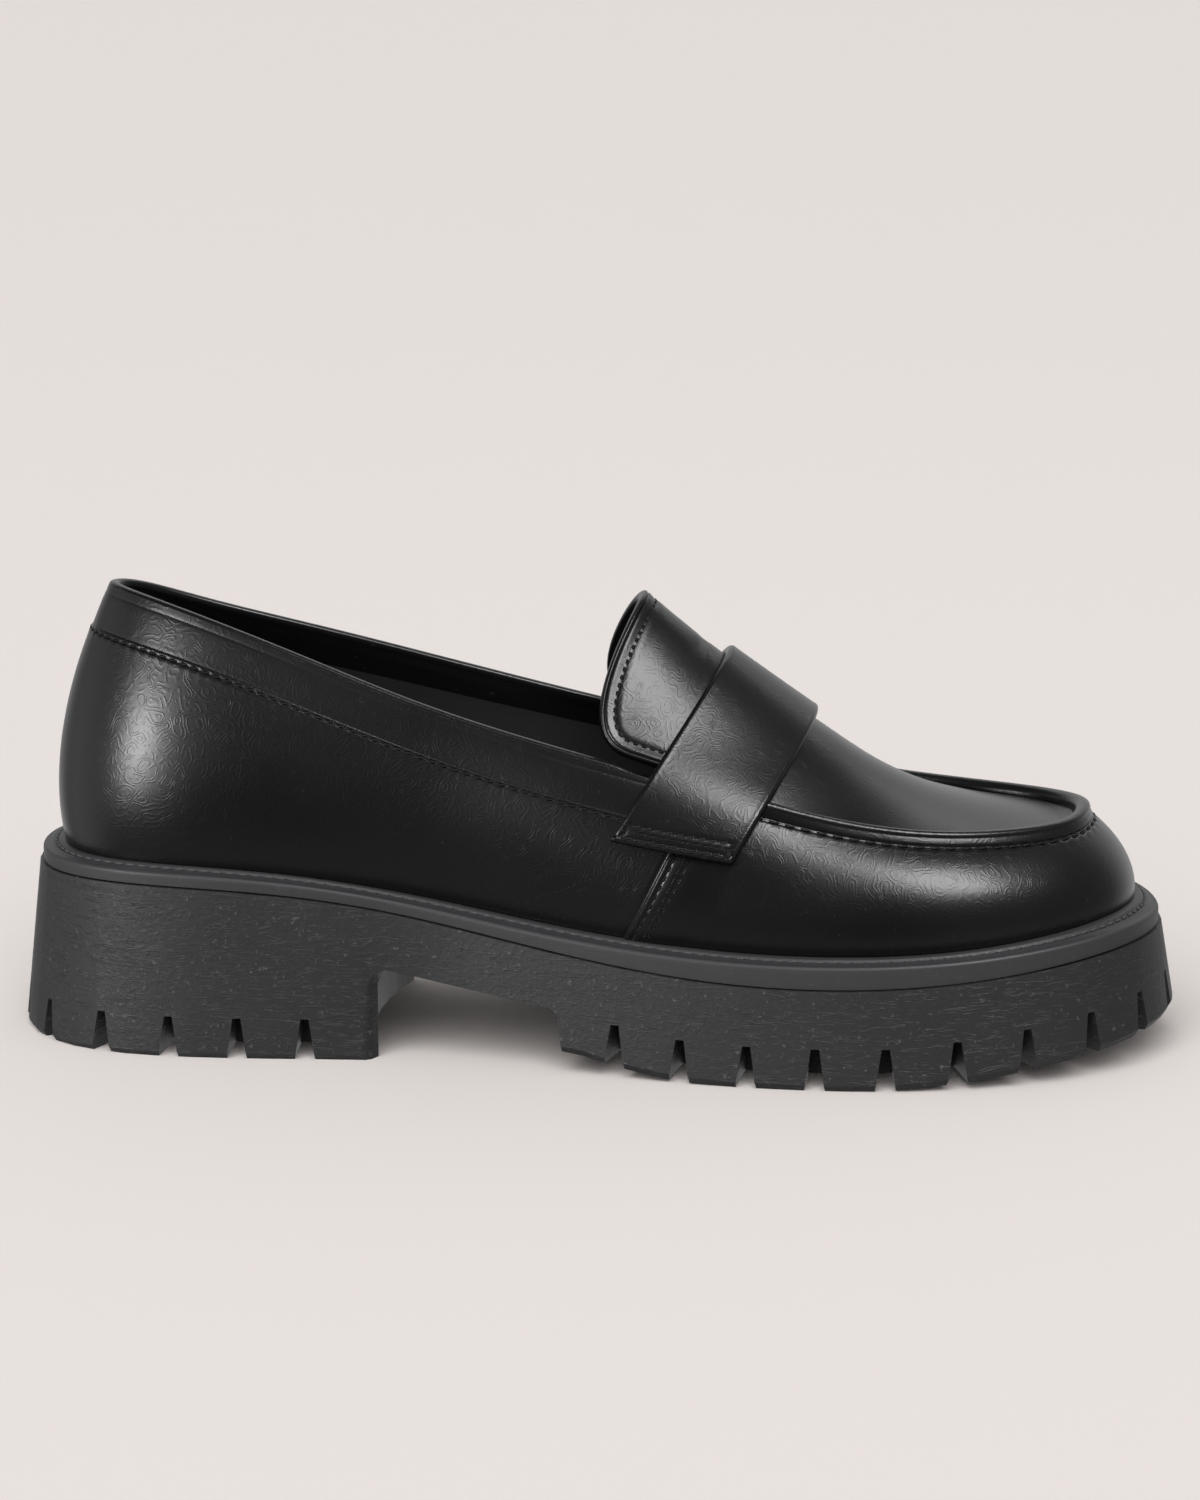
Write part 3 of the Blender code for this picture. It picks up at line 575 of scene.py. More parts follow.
def surface_group(name):
    """The shader group of that name, made the first time. Its inputs say how many millimetres high
    each kind of relief is, and it gives their height together, the marks and a slow cloud."""
    if name in bpy.data.node_groups:
        return bpy.data.node_groups[name]
    fill, reliefs, cloud = GROUPS[name]
    tree = bpy.data.node_groups.new(name, "ShaderNodeTree")
    for label in reliefs:
        tree.interface.new_socket(label, in_out="INPUT", socket_type="NodeSocketFloat")
    for label in ("Height", "Mark", "Cloud"):
        tree.interface.new_socket(label, in_out="OUTPUT", socket_type="NodeSocketFloat")
    given, out = node(tree, "NodeGroupInput"), node(tree, "NodeGroupOutput")
    place = node(tree, "ShaderNodeTexCoord").outputs["Object"]
    *shapes, marks = fill(tree, place)
    heights = [times(tree, shape, given.outputs[label]) for shape, label in zip(shapes, reliefs)]
    link(tree, sum_up(tree, "ADD", *heights), out.inputs["Height"])
    link(tree, marks, out.inputs["Mark"])
    link(tree, noise(tree, place, *cloud), out.inputs["Cloud"])
    return tree


def plain_material(name, colour, roughness):
    material = bpy.data.materials.new(name)
    material.use_nodes = True
    shader = material.node_tree.nodes["Principled BSDF"]
    shader.inputs["Base Color"].default_value = (*colour, 1)
    shader.inputs["Roughness"].default_value = roughness
    return material, material.node_tree, shader


def detailed(name, colour, marked, roughness, spread, group, heights):
    """A material with a surface group: its marks change the colour, its cloud varies the gloss by
    spread, and its reliefs have heights in millimetres. Calf also has the holes of its stitches."""
    material, tree, shader = plain_material(name, colour, roughness)
    surface = node(tree, "ShaderNodeGroup", node_tree=surface_group(group))
    set_inputs(surface, dict(zip(GROUPS[group][1], heights)))
    mix = node(tree, "ShaderNodeMix", data_type="RGBA")
    set_inputs(mix, {"A": (*colour, 1), "B": (*marked, 1)})
    link(tree, surface.outputs["Mark"], mix.inputs["Factor"])
    link(tree, mix.outputs["Result"], shader.inputs["Base Color"])
    gloss = between(tree, surface.outputs["Cloud"], 0.3, 0.7, roughness - spread, roughness + spread, False)
    height = surface.outputs["Height"]
    if name == "black calf":
        holes = stitch_holes(tree)
        gloss = sum_up(tree, "ADD", gloss, times(tree, holes, 0.45), clamp=True)
        height = sum_up(tree, "SUBTRACT", height, times(tree, holes, STITCH_DEPTH))
    link(tree, gloss, shader.inputs["Roughness"])
    bump = node(tree, "ShaderNodeBump")
    bump.inputs["Distance"].default_value = MM
    link(tree, height, bump.inputs["Height"])
    link(tree, bump.outputs["Normal"], shader.inputs["Normal"])
    return material


def lighter(colour, share):
    return tuple(share * part for part in colour)


def finish(name):
    """The material of that name, made the first time that a piece asks for it."""
    if name in bpy.data.materials:
        return bpy.data.materials[name]
    settings = bpy.context.scene.loafer_finish
    leather, rubber = tuple(settings.leather_colour), tuple(settings.rubber_colour)
    calf_roughness, band = settings.leather_roughness, lighter(rubber, 1.9)
    surfaces = {
        # colour, that of the marks, roughness, its spread, shader group and heights of its reliefs
        "black calf": (leather, lighter(leather, 4.0), calf_roughness, 0.03, "calf grain", (0.015, 0.003)),
        "lining": ((0.016,) * 3, (0.024,) * 3, 0.5, 0.05, "calf grain", (0.01, 0.02)),
        "charcoal rubber": (rubber, lighter(rubber, 3.2), 0.52, 0.05, "rubber scoring", (0.07, 0.1)),
        "band rubber": (band, lighter(rubber, 2.6), 0.5, 0.05, "rubber scoring", (0.008, 0.02)),
    }
    if name in surfaces:
        return detailed(name, *surfaces[name])
    if name == "studio paper":
        return plain_material(name, tuple(settings.paper_colour), 0.9)[0]
    shade = 0.07 if name == "welt thread" else 0.004
    material, _, shader = plain_material(name, (shade,) * 3, 0.6)
    shader.inputs["Specular IOR Level"].default_value = 0.3
    return material


def colour(name, description, default):
    return FloatVectorProperty(
        name=name, description=description, subtype="COLOR", size=3, min=0, max=1, default=default,
    )


class LoaferFinish(bpy.types.PropertyGroup):
    leather_colour: colour("Leather", "Colour of the calf leather", (0.003, 0.003, 0.0032))
    leather_roughness: FloatProperty(
        name="Leather Roughness", description="How matt the leather is", subtype="FACTOR", min=0, max=1,
        default=0.31,
    )
    rubber_colour: colour("Rubber", "Colour of the sole", (0.0172, 0.0173, 0.0187))
    paper_colour: colour("Paper", "Colour of the studio paper", (0.84, 0.78, 0.752))


class LoaferStitching(bpy.types.PropertyGroup):
    thread: FloatProperty(
        name="Thread", description="Thickness of the upper's thread", subtype="DISTANCE", unit="LENGTH",
        default=0.00056,
    )
    welt_thread: FloatProperty(
        name="Welt Thread", description="Thickness of the sole's thread", subtype="DISTANCE", unit="LENGTH",
        default=0.0007,
    )


# The upper
def side_seam(t):
    """The station of the side seam at a height on the wall."""
    return SEAM_FOOT + SEAM_LEAN * t


def net_columns():
    """Stations of the upper's columns: even along the shoe, and closer at the two side seams."""
    even = np.linspace(0, STATION_COUNT, 341)
    near = SEAM_FOOT + np.linspace(-0.06, 0.06, 25)
    half = np.unique(np.concatenate([even[np.abs(even - SEAM_FOOT) > 0.065], near]))
    return np.concatenate([half, ROUND - half[-2::-1]])


def follow_side_seam(u, t):
    """Leans the net's columns so that one of them runs along each side seam."""
    station = station_of(u)
    window = 1 - smooth_step(0.05, SEAM_REACH, np.abs(station - SEAM_FOOT))
    lean = SEAM_LEAN * np.minimum(t, 0.75) * window
    return np.where(np.asarray(u) % ROUND > STATION_COUNT, u - lean, u + lean)


def vamp_lift(u, t):
    """How far the vamp stands on the quarter in front of the side seam."""
    ahead = (station_of(u) - side_seam(t)) * STATION_LENGTH
    edge = smooth_step(-0.2, 0.25, ahead) * (1 - smooth_step(3.0, 16.0, ahead))
    sunk = hump(ahead, -0.6, 0.5) + hump(ahead, SIDE_ROWS[0], 0.4) + hump(ahead, SIDE_ROWS[1], 0.4)
    under_strap = 1 - smooth_step(0.56, 0.64, t)
    return (VAMP_OVERLAP * edge - SIDE_ROW_DEPTH * sunk) * under_strap


def seam_run():
    """Stations from heel to toe on both sides, and the distance along the long seam from the heel."""
    u = np.linspace(-STATION_COUNT, STATION_COUNT, 2201)
    length = running_length(wall(u, seam_at(u)))
    return u, length - np.interp(0.0, u, length)


def long_seam_run(u):
    """Stitches run along the long seam, a whole number in the middle of each."""
    places, length = seam_run()
    signed = (np.asarray(u) + STATION_COUNT) % ROUND - STATION_COUNT
    pitch = np.where(station_of(u) < PITCH_CHANGES, COLLAR_PITCH, APRON_PITCH)
    return np.interp(signed, places, length) / pitch - 0.5


def evenly(start, end, pitch):
    """The whole number of stitches between two places, and how far apart they come."""
    count = max(round((end - start) / pitch), 1)
    return count, (end - start) / count


def side_row(row):
    """Heights on the wall up a side seam's stitch row, and the distance run along it."""
    t = np.linspace(*SIDE_ROW_ENDS, 120)
    return t, running_length(wall(side_seam(t) + row / STATION_LENGTH, t))


def nearer(run, gap, other_run, other_gap, allowed):
    """The stitch attribute's values, with another row's where that is allowed and nearer."""
    near = allowed & (np.abs(other_gap) < np.abs(gap))
    return np.where(near, other_run, run), np.where(near, other_gap, gap)


def upper_marks(u, t):
    """The stitch attribute on the upper's outside: stitches run and millimetres aside."""
    station, below = station_of(u), (seam_at(u) - t) / millimetre(u)
    run, gap = long_seam_run(u), np.full(t.shape, NO_STITCH[1])
    gap = np.where(station < COLLAR_SEWN_TO, below - COLLAR_THREAD_BELOW, gap)
    gap = np.where(station > APRON_SEWN_FROM, below - APRON_THREAD_BELOW, gap)
    for row in SIDE_ROWS:
        places, length = side_row(row)
        aside = (station - side_seam(t)) * STATION_LENGTH - row
        step = evenly(0.0, length[-1], SIDE_PITCH)[1]
        count = np.interp(t, places, length) / step - 0.5
        run, gap = nearer(run, gap, count, aside, t < SIDE_ROW_ENDS[1])
    return np.stack([run, gap], -1)


SEAM_PROFILE = (
    # millimetres below the seam (negative above it), height over the wall
    (2.2, 0.0),
    (1.5, 0.05),
    (1.1, 0.03),
    (0.75, -0.08),
    (0.4, 0.02),
    (0.15, 0.02),
    (0.0, -0.1),
    (-0.2, -0.26),
    (-0.55, -0.22),
    (-1.6, -0.22),
)
BEAD_PROFILE = (
    # millimetres below the top line, height over the wall
    (2.6, 0.0),
    (2.15, 0.0),
    (1.8, -0.02),
    (1.62, -0.05),
    (1.45, -0.02),
    (1.1, 0.02),
    (0.6, 0.05),
)
LINING_DEPTHS = (0.97, 0.93, 0.885, 0.87, 0.84, 0.8, 0.7, 0.6, 0.5, 0.4, 0.3, 0.2, 0.1, 0.0)
LINING_FROM = 3  # the row of these from which on the finish is the lining's


def lip_rise(u):
    """Height of the rolled edge: a bead along the collar, flat under the strap, a lip round the apron."""
    station = station_of(u)
    return 1.0 - 0.95 * smooth_step(5.35, 5.6, station) + 1.85 * smooth_step(6.3, 6.43, station)


def upper_points():
    """All rows of the upper's wall, up its outside, over the rolled edge and down the lining, with the
    stitch attribute and the row where the lining starts."""
    u = net_columns()
    step = millimetre(u)
    seam = seam_at(u)
    rows, marks = [], []
    wave = np.cos(2 * np.pi * long_seam_run(u))
    thread_below = COLLAR_THREAD_BELOW + (APRON_THREAD_BELOW - COLLAR_THREAD_BELOW) * lip_share(u)

    def outside(t, height):
        leaned = follow_side_seam(u, t)
        below_seam = (seam - t) / step
        marks.append(upper_marks(leaned, t))
        pucker = PUCKER * (1 + wave) * hump(below_seam, thread_below, 0.55)
        reach = smooth_step(0.3, 1.2, below_seam) * (1 - smooth_step(1.5, 4.0, below_seam))
        lift = np.broadcast_to(height, t.shape) + vamp_lift(leaned, t) - pucker - GATHERS * wave * reach
        return wall(leaned, t) + wall_normal(leaned, t) * lift[..., None]

    below = seam - SEAM_PROFILE[0][0] * step
    for share in np.linspace(0, 1, 30)[:-1]:
        rows.append(outside(below * share, 0.0))
    band_start = seam - SEAM_PROFILE[-1][0] * step
    band_end = 1 - BEAD_PROFILE[0][0] * step
    above = []
    for distance, height in SEAM_PROFILE:
        if distance >= 0:
            rows.append(outside(seam - distance * step, height))
        else:
            above.append((seam - distance * step, height))
    for share in (0.12, 0.25, 0.4, 0.55, 0.7, 0.85):
        above.append((band_start + (band_end - band_start) * share, -COLLAR_STEP * (1 - share) ** 1.2))
    for distance, height in BEAD_PROFILE:
        above.append((1 - distance * step, height))
    lip = lip_share(u)
    for k, (t, height) in enumerate(above):
        share = (k + 1) / (len(above) + 1)
        swell = LIP_SWELL * share**0.8 - LIP_GROOVE * (1 - smooth_step(0.0, 0.25, share))
        level = t * (1 - lip) + (seam + (1 - seam) * share) * lip
        rows.append(outside(level, height * (1 - lip) + swell * lip))
    width, rise = edge_width(u), lip_rise(u)
    for turn in np.linspace(0.06, 1.0, 13):
        angle = math.pi * turn
        swell = LIP_SWELL * lip * (1 + math.cos(angle)) / 2
        across = EDGE_REACH / 2 * (1 - math.cos(angle)) * width - 0.7 * swell
        rows.append(top_edge(u, across, rise * max(math.sin(angle), 0.0) ** 0.8 + 0.7 * swell))
    foot = arch_edge(u)
    for drop in (0.5, 1.1):
        rows.append(foot - np.array((0, 0, drop)))
    for t in LINING_DEPTHS:
        steps = np.full(u.shape, t)
        rows.append(wall(u, steps) - wall_normal(u, steps) * WALL)
    rows.append(rows[0])
    bare = np.broadcast_to(NO_STITCH, (len(u), len(rows) - len(marks), 2))
    marks = np.concatenate([np.stack(marks, 1), bare], 1)
    return np.stack(rows, 1), marks, len(rows) - len(LINING_DEPTHS) + LINING_FROM


def make_upper():
    points, marks, lining_row = upper_points()
    columns, rows = points.shape[:2]
    mesh = net(columns, rows)
    for face in mesh.faces:
        row = (face.calc_center_median().y + 1) / 2 * (rows - 1)
        face.material_index = int(row > lining_row)
    pull(mesh, [points], marks)
    close_net(mesh)
    write("upper_leather", mesh, ["black calf", "lining"], replaces=("upper",))


def make_apron():
    """The apron: one panel over the toes and the instep, tucked in behind the lip."""
    stations = np.concatenate([np.linspace(5.98, 10.4, 70), np.linspace(10.45, 10.985, 16)])
    near_edge = np.array((0, 0.006, 0.014, 0.026, 0.042, 0.065))
    w = np.concatenate([near_edge - 1, np.linspace(-0.9, 0.9, 35), 1 - near_edge[::-1]])
    s, w = np.meshgrid(stations, w, indexing="ij")
    surface, normal = arch(s, w), arch_normal(s, np.clip(w, -0.97, 0.97))
    outline = np.concatenate([surface[:, 0], surface[-1], surface[::-1, -1]])
    distance = distances(surface, outline)
    sunk = APRON_TUCK * np.exp(-((distance / 0.55) ** 1.3)) + APRON_CLEARANCE
    outer = surface - normal * sunk[..., None]
    under = surface - normal * (APRON_THICKNESS - 0.5 * np.exp(-distance / 0.6))[..., None]
    mesh = two_layers(outer, under)
    close_net(mesh, 0.01)
    write("apron", mesh, ["black calf"], replaces=("upper",))


def distances(points, outline):
    """The distance of each point to an outline, in millimetres."""
    tree = KDTree(len(outline) * 4)
    dense = np.concatenate([outline[:-1] + (outline[1:] - outline[:-1]) * k / 4 for k in range(4)])
    for k, spot in enumerate(dense):
        tree.insert(spot, k)
    tree.balance()
    flat = points.reshape(-1, 3)
    return np.array([tree.find(p)[2] for p in flat]).reshape(points.shape[:-1])


# The tongue
def tongue_outline():
    """Station and w round the tongue, from the foot up the lateral side, round the tip and back."""
    progress = np.linspace(0, 1, TONGUE_POINTS // 2) ** 0.8
    side = []
    for sign in (-1.0, 1.0):
        station = TONGUE_FOOT - (TONGUE_FOOT - TONGUE_TIP) * progress
        past = np.clip((TONGUE_TIP + TONGUE_ROUNDING - station) / TONGUE_ROUNDING, 0, 1)
        w = sign * TONGUE_SHARE * np.maximum(1 - past**TONGUE_CORNER, 0) ** (1 / TONGUE_CORNER)
        back = TONGUE_HOLLOW * w * w + TONGUE_SKEW * np.maximum(w, 0.0)
        side.append(np.stack([station - back * progress, w], -1))
    line = np.concatenate([side[0], side[1][-2::-1]])
    length = running_length(arch(*line.T))
    line = read_line(line, length, np.linspace(0, length[-1], TONGUE_POINTS))
    foot = np.linspace(line[-1], line[0], 60)[1:-1]
    return np.concatenate([line, foot])


TONGUE_PROFILE = (
    # millimetres in from the edge, height over the instep
    (0.0, -1.5),
    (0.05, -1.05),
    (0.2, -0.5),
    (0.45, -0.12),
    (0.75, 0.0),
    (1.0, -0.1),
    (1.18, -0.36),
    (1.35, -0.14),
    (1.65, -0.02),
    (2.1, -0.06),
    (2.6, -0.16),
    (3.1, -0.24),
    (3.7, -0.34),
    (4.1, -0.24),
    (4.6, -0.14),
    (5.5, -0.14),
    (6.4, -0.2),
)
TONGUE_UNDERSIDE = ((0.05, -1.9), (0.25, -2.4), (0.6, -2.7), (1.2, -2.8), (2.5, -2.8), (5.0, -2.8))


def tongue_frame():
    """The tongue's outline in station and w, and the step there for one millimetre inward."""
    outline = tongue_outline()
    spots = arch(*np.concatenate([outline[-1:], outline, outline[:1]]).T)
    tangent = unit_vectors(spots[2:] - spots[:-2])
    inward = np.cross(tangent, arch_normal(*outline.T))
    slopes = [
        (arch(*(outline + nudge).T) - arch(*(outline - nudge).T)) / 0.02 for nudge in 0.01 * np.eye(2)
    ]
    return outline, np.einsum("nij,nj->ni", np.linalg.pinv(np.stack(slopes, -1)), inward)


def tongue_rings():
    """Rings of the tongue, from its middle out over the beaded edge and in again underneath, with the
    stitch attribute."""
    outline, step = tongue_frame()
    inset = TONGUE_PROFILE[-1][0]

    def ring(distance, share=0.0):
        spot = outline + step * distance
        return spot + (TONGUE_MIDDLE - spot) * share

    rings = [(ring(inset, share), TONGUE_DIP) for share in (1.0, 0.8, 0.6, 0.42, 0.27, 0.14, 0.06)]
    gaps = [NO_STITCH[1]] * len(rings)
    for distance, height in TONGUE_PROFILE[::-1]:
        rings.append((ring(distance), height))
        gaps.append(distance - TONGUE_STITCH_INSET)
    rings += [(ring(distance), height) for distance, height in TONGUE_UNDERSIDE]
    rings += [(ring(inset, share), -TONGUE_THICKNESS) for share in (0.1, 0.3, 0.6, 1.0)]
    gaps += [NO_STITCH[1]] * (len(rings) - len(gaps))
    length = running_length(arch(*ring(TONGUE_STITCH_INSET).T))
    first, last = length[list(TONGUE_SEWN)]
    run = (length - first) / evenly(first, last, TONGUE_PITCH)[1] - 0.5
    run, gaps = np.broadcast_arrays(run[:, None], np.array(gaps))
    points = np.stack([arch(*line.T) + arch_normal(*line.T) * height for line, height in rings], 1)
    return points, np.stack([run, gaps], -1)


def make_tongue():
    points, marks = (np.concatenate([values, values[:1]]) for values in tongue_rings())
    mesh = net(*points.shape[:2])
    pull(mesh, [points], marks)
    close_net(mesh, 0.01)
    write("tongue_leather", mesh, ["black calf"], replaces=("tongue",))


# The strap
def strap_sheet():
    """The strap's underside over the instep, as a net of points."""
    half = STRAP_WIDTH / 2 * math.hypot(1, STRAP_LEAN)
    edge = (0, 0.1, 0.3, 0.6, 0.9, 1.25, 1.6, 1.95, 2.3, 2.7, 3.2)
    across = clustered(-STRAP_WIDTH / 2, STRAP_WIDTH / 2, edge, 19) / (STRAP_WIDTH / 2)
    over = np.linspace(1 + STRAP_BRIDGE, 3 - STRAP_BRIDGE, 130)
    v = np.concatenate([np.linspace(STRAP_END, 1, 40), over, np.linspace(3, 4 - STRAP_END, 40)])
    v, b = np.meshgrid(v, across, indexing="ij")
    low, high = (np.full(v.shape, station) for station in STRAP_STATIONS)
    for _ in range(STRAP_HALVINGS):
        middle = (low + high) / 2
        p = skin(middle, v)
        ahead = p[..., 0] - STRAP_MIDDLE_X - half * b - STRAP_LEAN * (p[..., 2] - STRAP_MIDDLE_HEIGHT)
        high = np.where(ahead > 0, middle, high)
        low = np.where(ahead > 0, low, middle)
    raw = skin((low + high) / 2, v)
    length = running_length(raw)
    end = (0, 0.12, 0.35, 0.7, 1.05, 1.35, 1.6, 1.9, 2.3, 2.9, 3.6, 4.2, 4.5, 4.8, 5.2, 5.8)
    sheet = []
    for k in range(raw.shape[1]):
        dense = np.arange(0, length[-1, k], 0.5)
        line = soften(read_line(raw[:, k], length[:, k], dense), STRAP_SMOOTHING)
        line = soften(line, STRAP_EASE)
        sheet.append(read_line(line, dense, clustered(0, dense[-1], end, 150)))
    return np.stack(sheet, 1)


def soften(line, width):
    """A line of points smoothed over a width in points, with both ends kept straight."""
    reach = math.ceil(2.4 * width)
    before, after = line[reach:0:-1], line[-2 : -reach - 2 : -1]
    padded = np.concatenate([2 * line[0] - before, line, 2 * line[-1] - after])
    weights = np.exp(-((np.arange(-reach, reach + 1) / width) ** 2))
    weights /= weights.sum()
    return np.stack([np.convolve(part, weights, "valid") for part in padded.T], -1)


def box_marks(end, across):
    """The stitch attribute on the strap, from distances to its nearer end and to its first side."""
    low, high = BOX_ROWS
    left, right = BOX_SIDES[0], across[:, -1:] - BOX_SIDES[1]
    run, gap = (np.full(end.shape, number) for number in NO_STITCH)
    inside = (across > left - 0.4) & (across < right + 0.4)
    count = (across - left) / evenly(0.0, float(np.mean(right) - left), BOX_PITCH)[1] - 0.5
    for row in (low, high):
        run, gap = nearer(run, gap, count, end - row, inside)
    beside = (end > low) & (end < high)
    count = (end - low) / evenly(low, high, BOX_SIDE_PITCH)[1] - 0.5
    for row in (left, right):
        run, gap = nearer(run, gap, count, across - row, beside)
    return np.stack([run, gap], -1)


def make_strap():
    """The saddle strap: folded edges, a lip at its two sewn ends and a sunken box of stitches."""
    sheet = strap_sheet()
    along, across = running_length(sheet), running_length(sheet, 1)
    end = np.minimum(along, along[-1] - along)
    side = np.minimum(across, across[:, -1:] - across)
    past_fold = np.clip(STRAP_FOLD - np.minimum(side, end), 0, STRAP_FOLD)
    rounding = STRAP_FOLD - np.sqrt(np.maximum(STRAP_FOLD**2 - past_fold**2, 0))
    height = STRAP_THICKNESS - rounding + 0.06 * hump(side, 1.0, 0.5) + 0.25 * hump(end, 0.9, 0.5)
    left, right = across - BOX_SIDES[0], across[:, -1:] - across - BOX_SIDES[1]
    in_box = smooth_step(0.0, 1.0, left + 0.5) * smooth_step(0.0, 1.0, right + 0.5)
    height -= OUTER_ROW_DEPTH * hump(end, BOX_ROWS[0], 0.45)
    height -= BOX_ROW_DEPTH * hump(end, BOX_ROWS[1], 0.45) * in_box
    for row in (left, right):
        at_end = 1 - smooth_step(BOX_ROWS[1], BOX_ROWS[1] + 0.8, end)
        height -= BOX_ROW_DEPTH * hump(row, 0.0, 0.45) * at_end
    lift = STRAP_LIFT + STRAP_SPRING * smooth_step(0.0, 25.0, end)
    normal = upward_normals(sheet)
    outer = sheet + normal * (height + lift)[..., None]
    under = sheet + normal * (lift + 0.3 * rounding)[..., None]
    mesh = two_layers(outer, under, box_marks(end, across))
    close_net(mesh)
    write("strap_leather", mesh, ["black calf"], replaces=("saddle_strap",))
    return outer


# The stitches
def sew(mesh, line, normals, pitch, thread, tilt=7.0, share=0.72):
    """Adds a row of stitches along a line of points, a pitch apart, each a slim bead of thread that
    fills a share of the pitch."""
    length = running_length(line)
    count, step = evenly(0.0, length[-1], pitch)
    for k in range(count):
        middle = (k + 0.5) * step
        spot, ahead, behind = (read_line(line, length, middle + shift) for shift in (0.0, 0.4, -0.4))
        along = Vector(ahead - behind).normalized()
        over = Vector(read_line(normals, length, middle)).normalized()
        side = over.cross(along).normalized()
        over = along.cross(side)
        turn = Matrix((along, side, over)).transposed() @ Matrix.Rotation(math.radians(tilt), 3, "Z")
        spot = Vector(spot - CENTRE) + over * thread * THREAD_RISE
        shape = turn @ Matrix.Diagonal((step * share / 2, thread / 2, thread / 2))
        place = Matrix.Translation(spot * MM) @ (shape * MM).to_4x4()
        bmesh.ops.create_uvsphere(mesh, u_segments=7, v_segments=6, radius=1.0, matrix=place)


def stitches(name, rows, kind="thread"):
    """One piece of stitches. A row is a line, its normals, the pitch and the share of the thread's
    thickness, with a tilt and a share of the pitch where they aren't the usual ones."""
    stitching = bpy.context.scene.loafer_stitching
    thread = (stitching.welt_thread if kind == "welt thread" else stitching.thread) / MM
    mesh = bmesh.new()
    for line, normals, pitch, share, *more in rows:
        sew(mesh, line, normals, pitch, thread * share, *more)
    write(name, mesh, [kind])


def wall_line(u, t, height):
    """A line on the upper's outside and its normals."""
    u, t = np.broadcast_arrays(u, t)
    normal = wall_normal(u, t)
    return wall(u, t) + normal * np.asarray(height)[..., None], normal


def long_seam_line(first, last, pitch, below, way=1):
    """A line below the long seam and its normals, between two stitch holes next to first and last."""
    places, length = seam_run()
    start = math.ceil(np.interp(first, places, length) / pitch) * pitch
    end = math.floor(np.interp(last, places, length) / pitch) * pitch
    u = way * np.interp(np.linspace(start, end, 900), length, places)
    return wall_line(u, seam_at(u) - below * millimetre(u), -THREAD_SINK)


def make_upper_stitches():
    collar = long_seam_line(-COLLAR_SEWN_TO, COLLAR_SEWN_TO, COLLAR_PITCH, COLLAR_THREAD_BELOW)
    stitches("collar_stitches", [(*collar, COLLAR_PITCH, 1.0)])
    lip, sides = [], []
    for way in (1, -1):
        line = long_seam_line(APRON_SEWN_FROM, LAST_STITCH, APRON_PITCH, APRON_THREAD_BELOW, way)
        lip.append((*line, APRON_PITCH, 1.15))
        for row in SIDE_ROWS:
            t, _ = side_row(row)
            u = way * (side_seam(t) + row / STATION_LENGTH)
            sides.append((*wall_line(u, t, vamp_lift(u, t)), SIDE_PITCH, 0.9, -6 * way))
    stitches("apron_stitches", lip)
    stitches("side_seam_stitches", sides)


def make_tongue_stitches():
    outline, step = tongue_frame()
    line = (outline + step * TONGUE_STITCH_INSET)[TONGUE_SEWN[0] : TONGUE_SEWN[1] + 1]
    normals = arch_normal(*line.T)
    sunk = arch(*line.T) - normals * TONGUE_STITCH_DEPTH
    stitches("tongue_stitches", [(sunk, normals, TONGUE_PITCH, 0.75)])


def make_strap_stitches(outer):
    """A box of stitches at both ends of the strap: outer is the net of its outside."""
    normal = upward_normals(outer)
    along, across = running_length(outer).mean(1), running_length(outer, 1).mean(0)

    def read(a, b):
        """Points and normals of the outside at distances along and across it."""
        i, j = np.interp(a, along, np.arange(len(along))), np.interp(b, across, np.arange(len(across)))
        i0, j0 = np.minimum(i.astype(int), len(along) - 2), np.minimum(j.astype(int), len(across) - 2)
        fi, fj = (i - i0)[:, None], (j - j0)[:, None]
        return [
            v[i0, j0] * (1 - fi) * (1 - fj) + v[i0 + 1, j0] * fi * (1 - fj)
            + v[i0, j0 + 1] * (1 - fi) * fj + v[i0 + 1, j0 + 1] * fi * fj
            for v in (outer, normal)
        ]

    low, high = BOX_ROWS
    left, right = BOX_SIDES[0], across[-1] - BOX_SIDES[1]
    box = (
        # from and to, along and across the strap, and the pitch
        ((low, left), (low, right), BOX_PITCH),
        ((high, left), (high, right), BOX_PITCH),
        ((low, left), (high, left), BOX_SIDE_PITCH),
        ((low, right), (high, right), BOX_SIDE_PITCH),
    )
    rows = []
    for from_far_end in (False, True):
        for first, last, pitch in box:
            a, b = np.linspace(first, last, 60).T
            rows.append((*read(along[-1] - a if from_far_end else a, b), pitch, 0.85))
    stitches("strap_stitches", rows)


def make_welt_stitches():
    u = np.linspace(0, ROUND, 3001)
    line = sole_line(WELT_STITCH_INSET + 0 * u, lambda z, drop, tall: z - drop * 0.28 - 0.42, u)
    normals = np.broadcast_to((0, 0, 1.0), line.shape)
    stitches("welt_stitches", [(line, normals, WELT_PITCH, 1.0, 5, 0.8)], "welt thread")


# The sole
LEDGE_PROFILE = (
    # millimetres in from the band's edge, and down from the ledge's slope
    (1.4, 0.0),
    (2.1, 0.0),
    (2.5, 0.02),
    (2.62, 0.18),
    (2.8, 0.24),
    (3.0, 0.42),
    (3.3, 0.55),
    (3.6, 0.42),
    (3.8, 0.16),
    (4.1, 0.05),
)


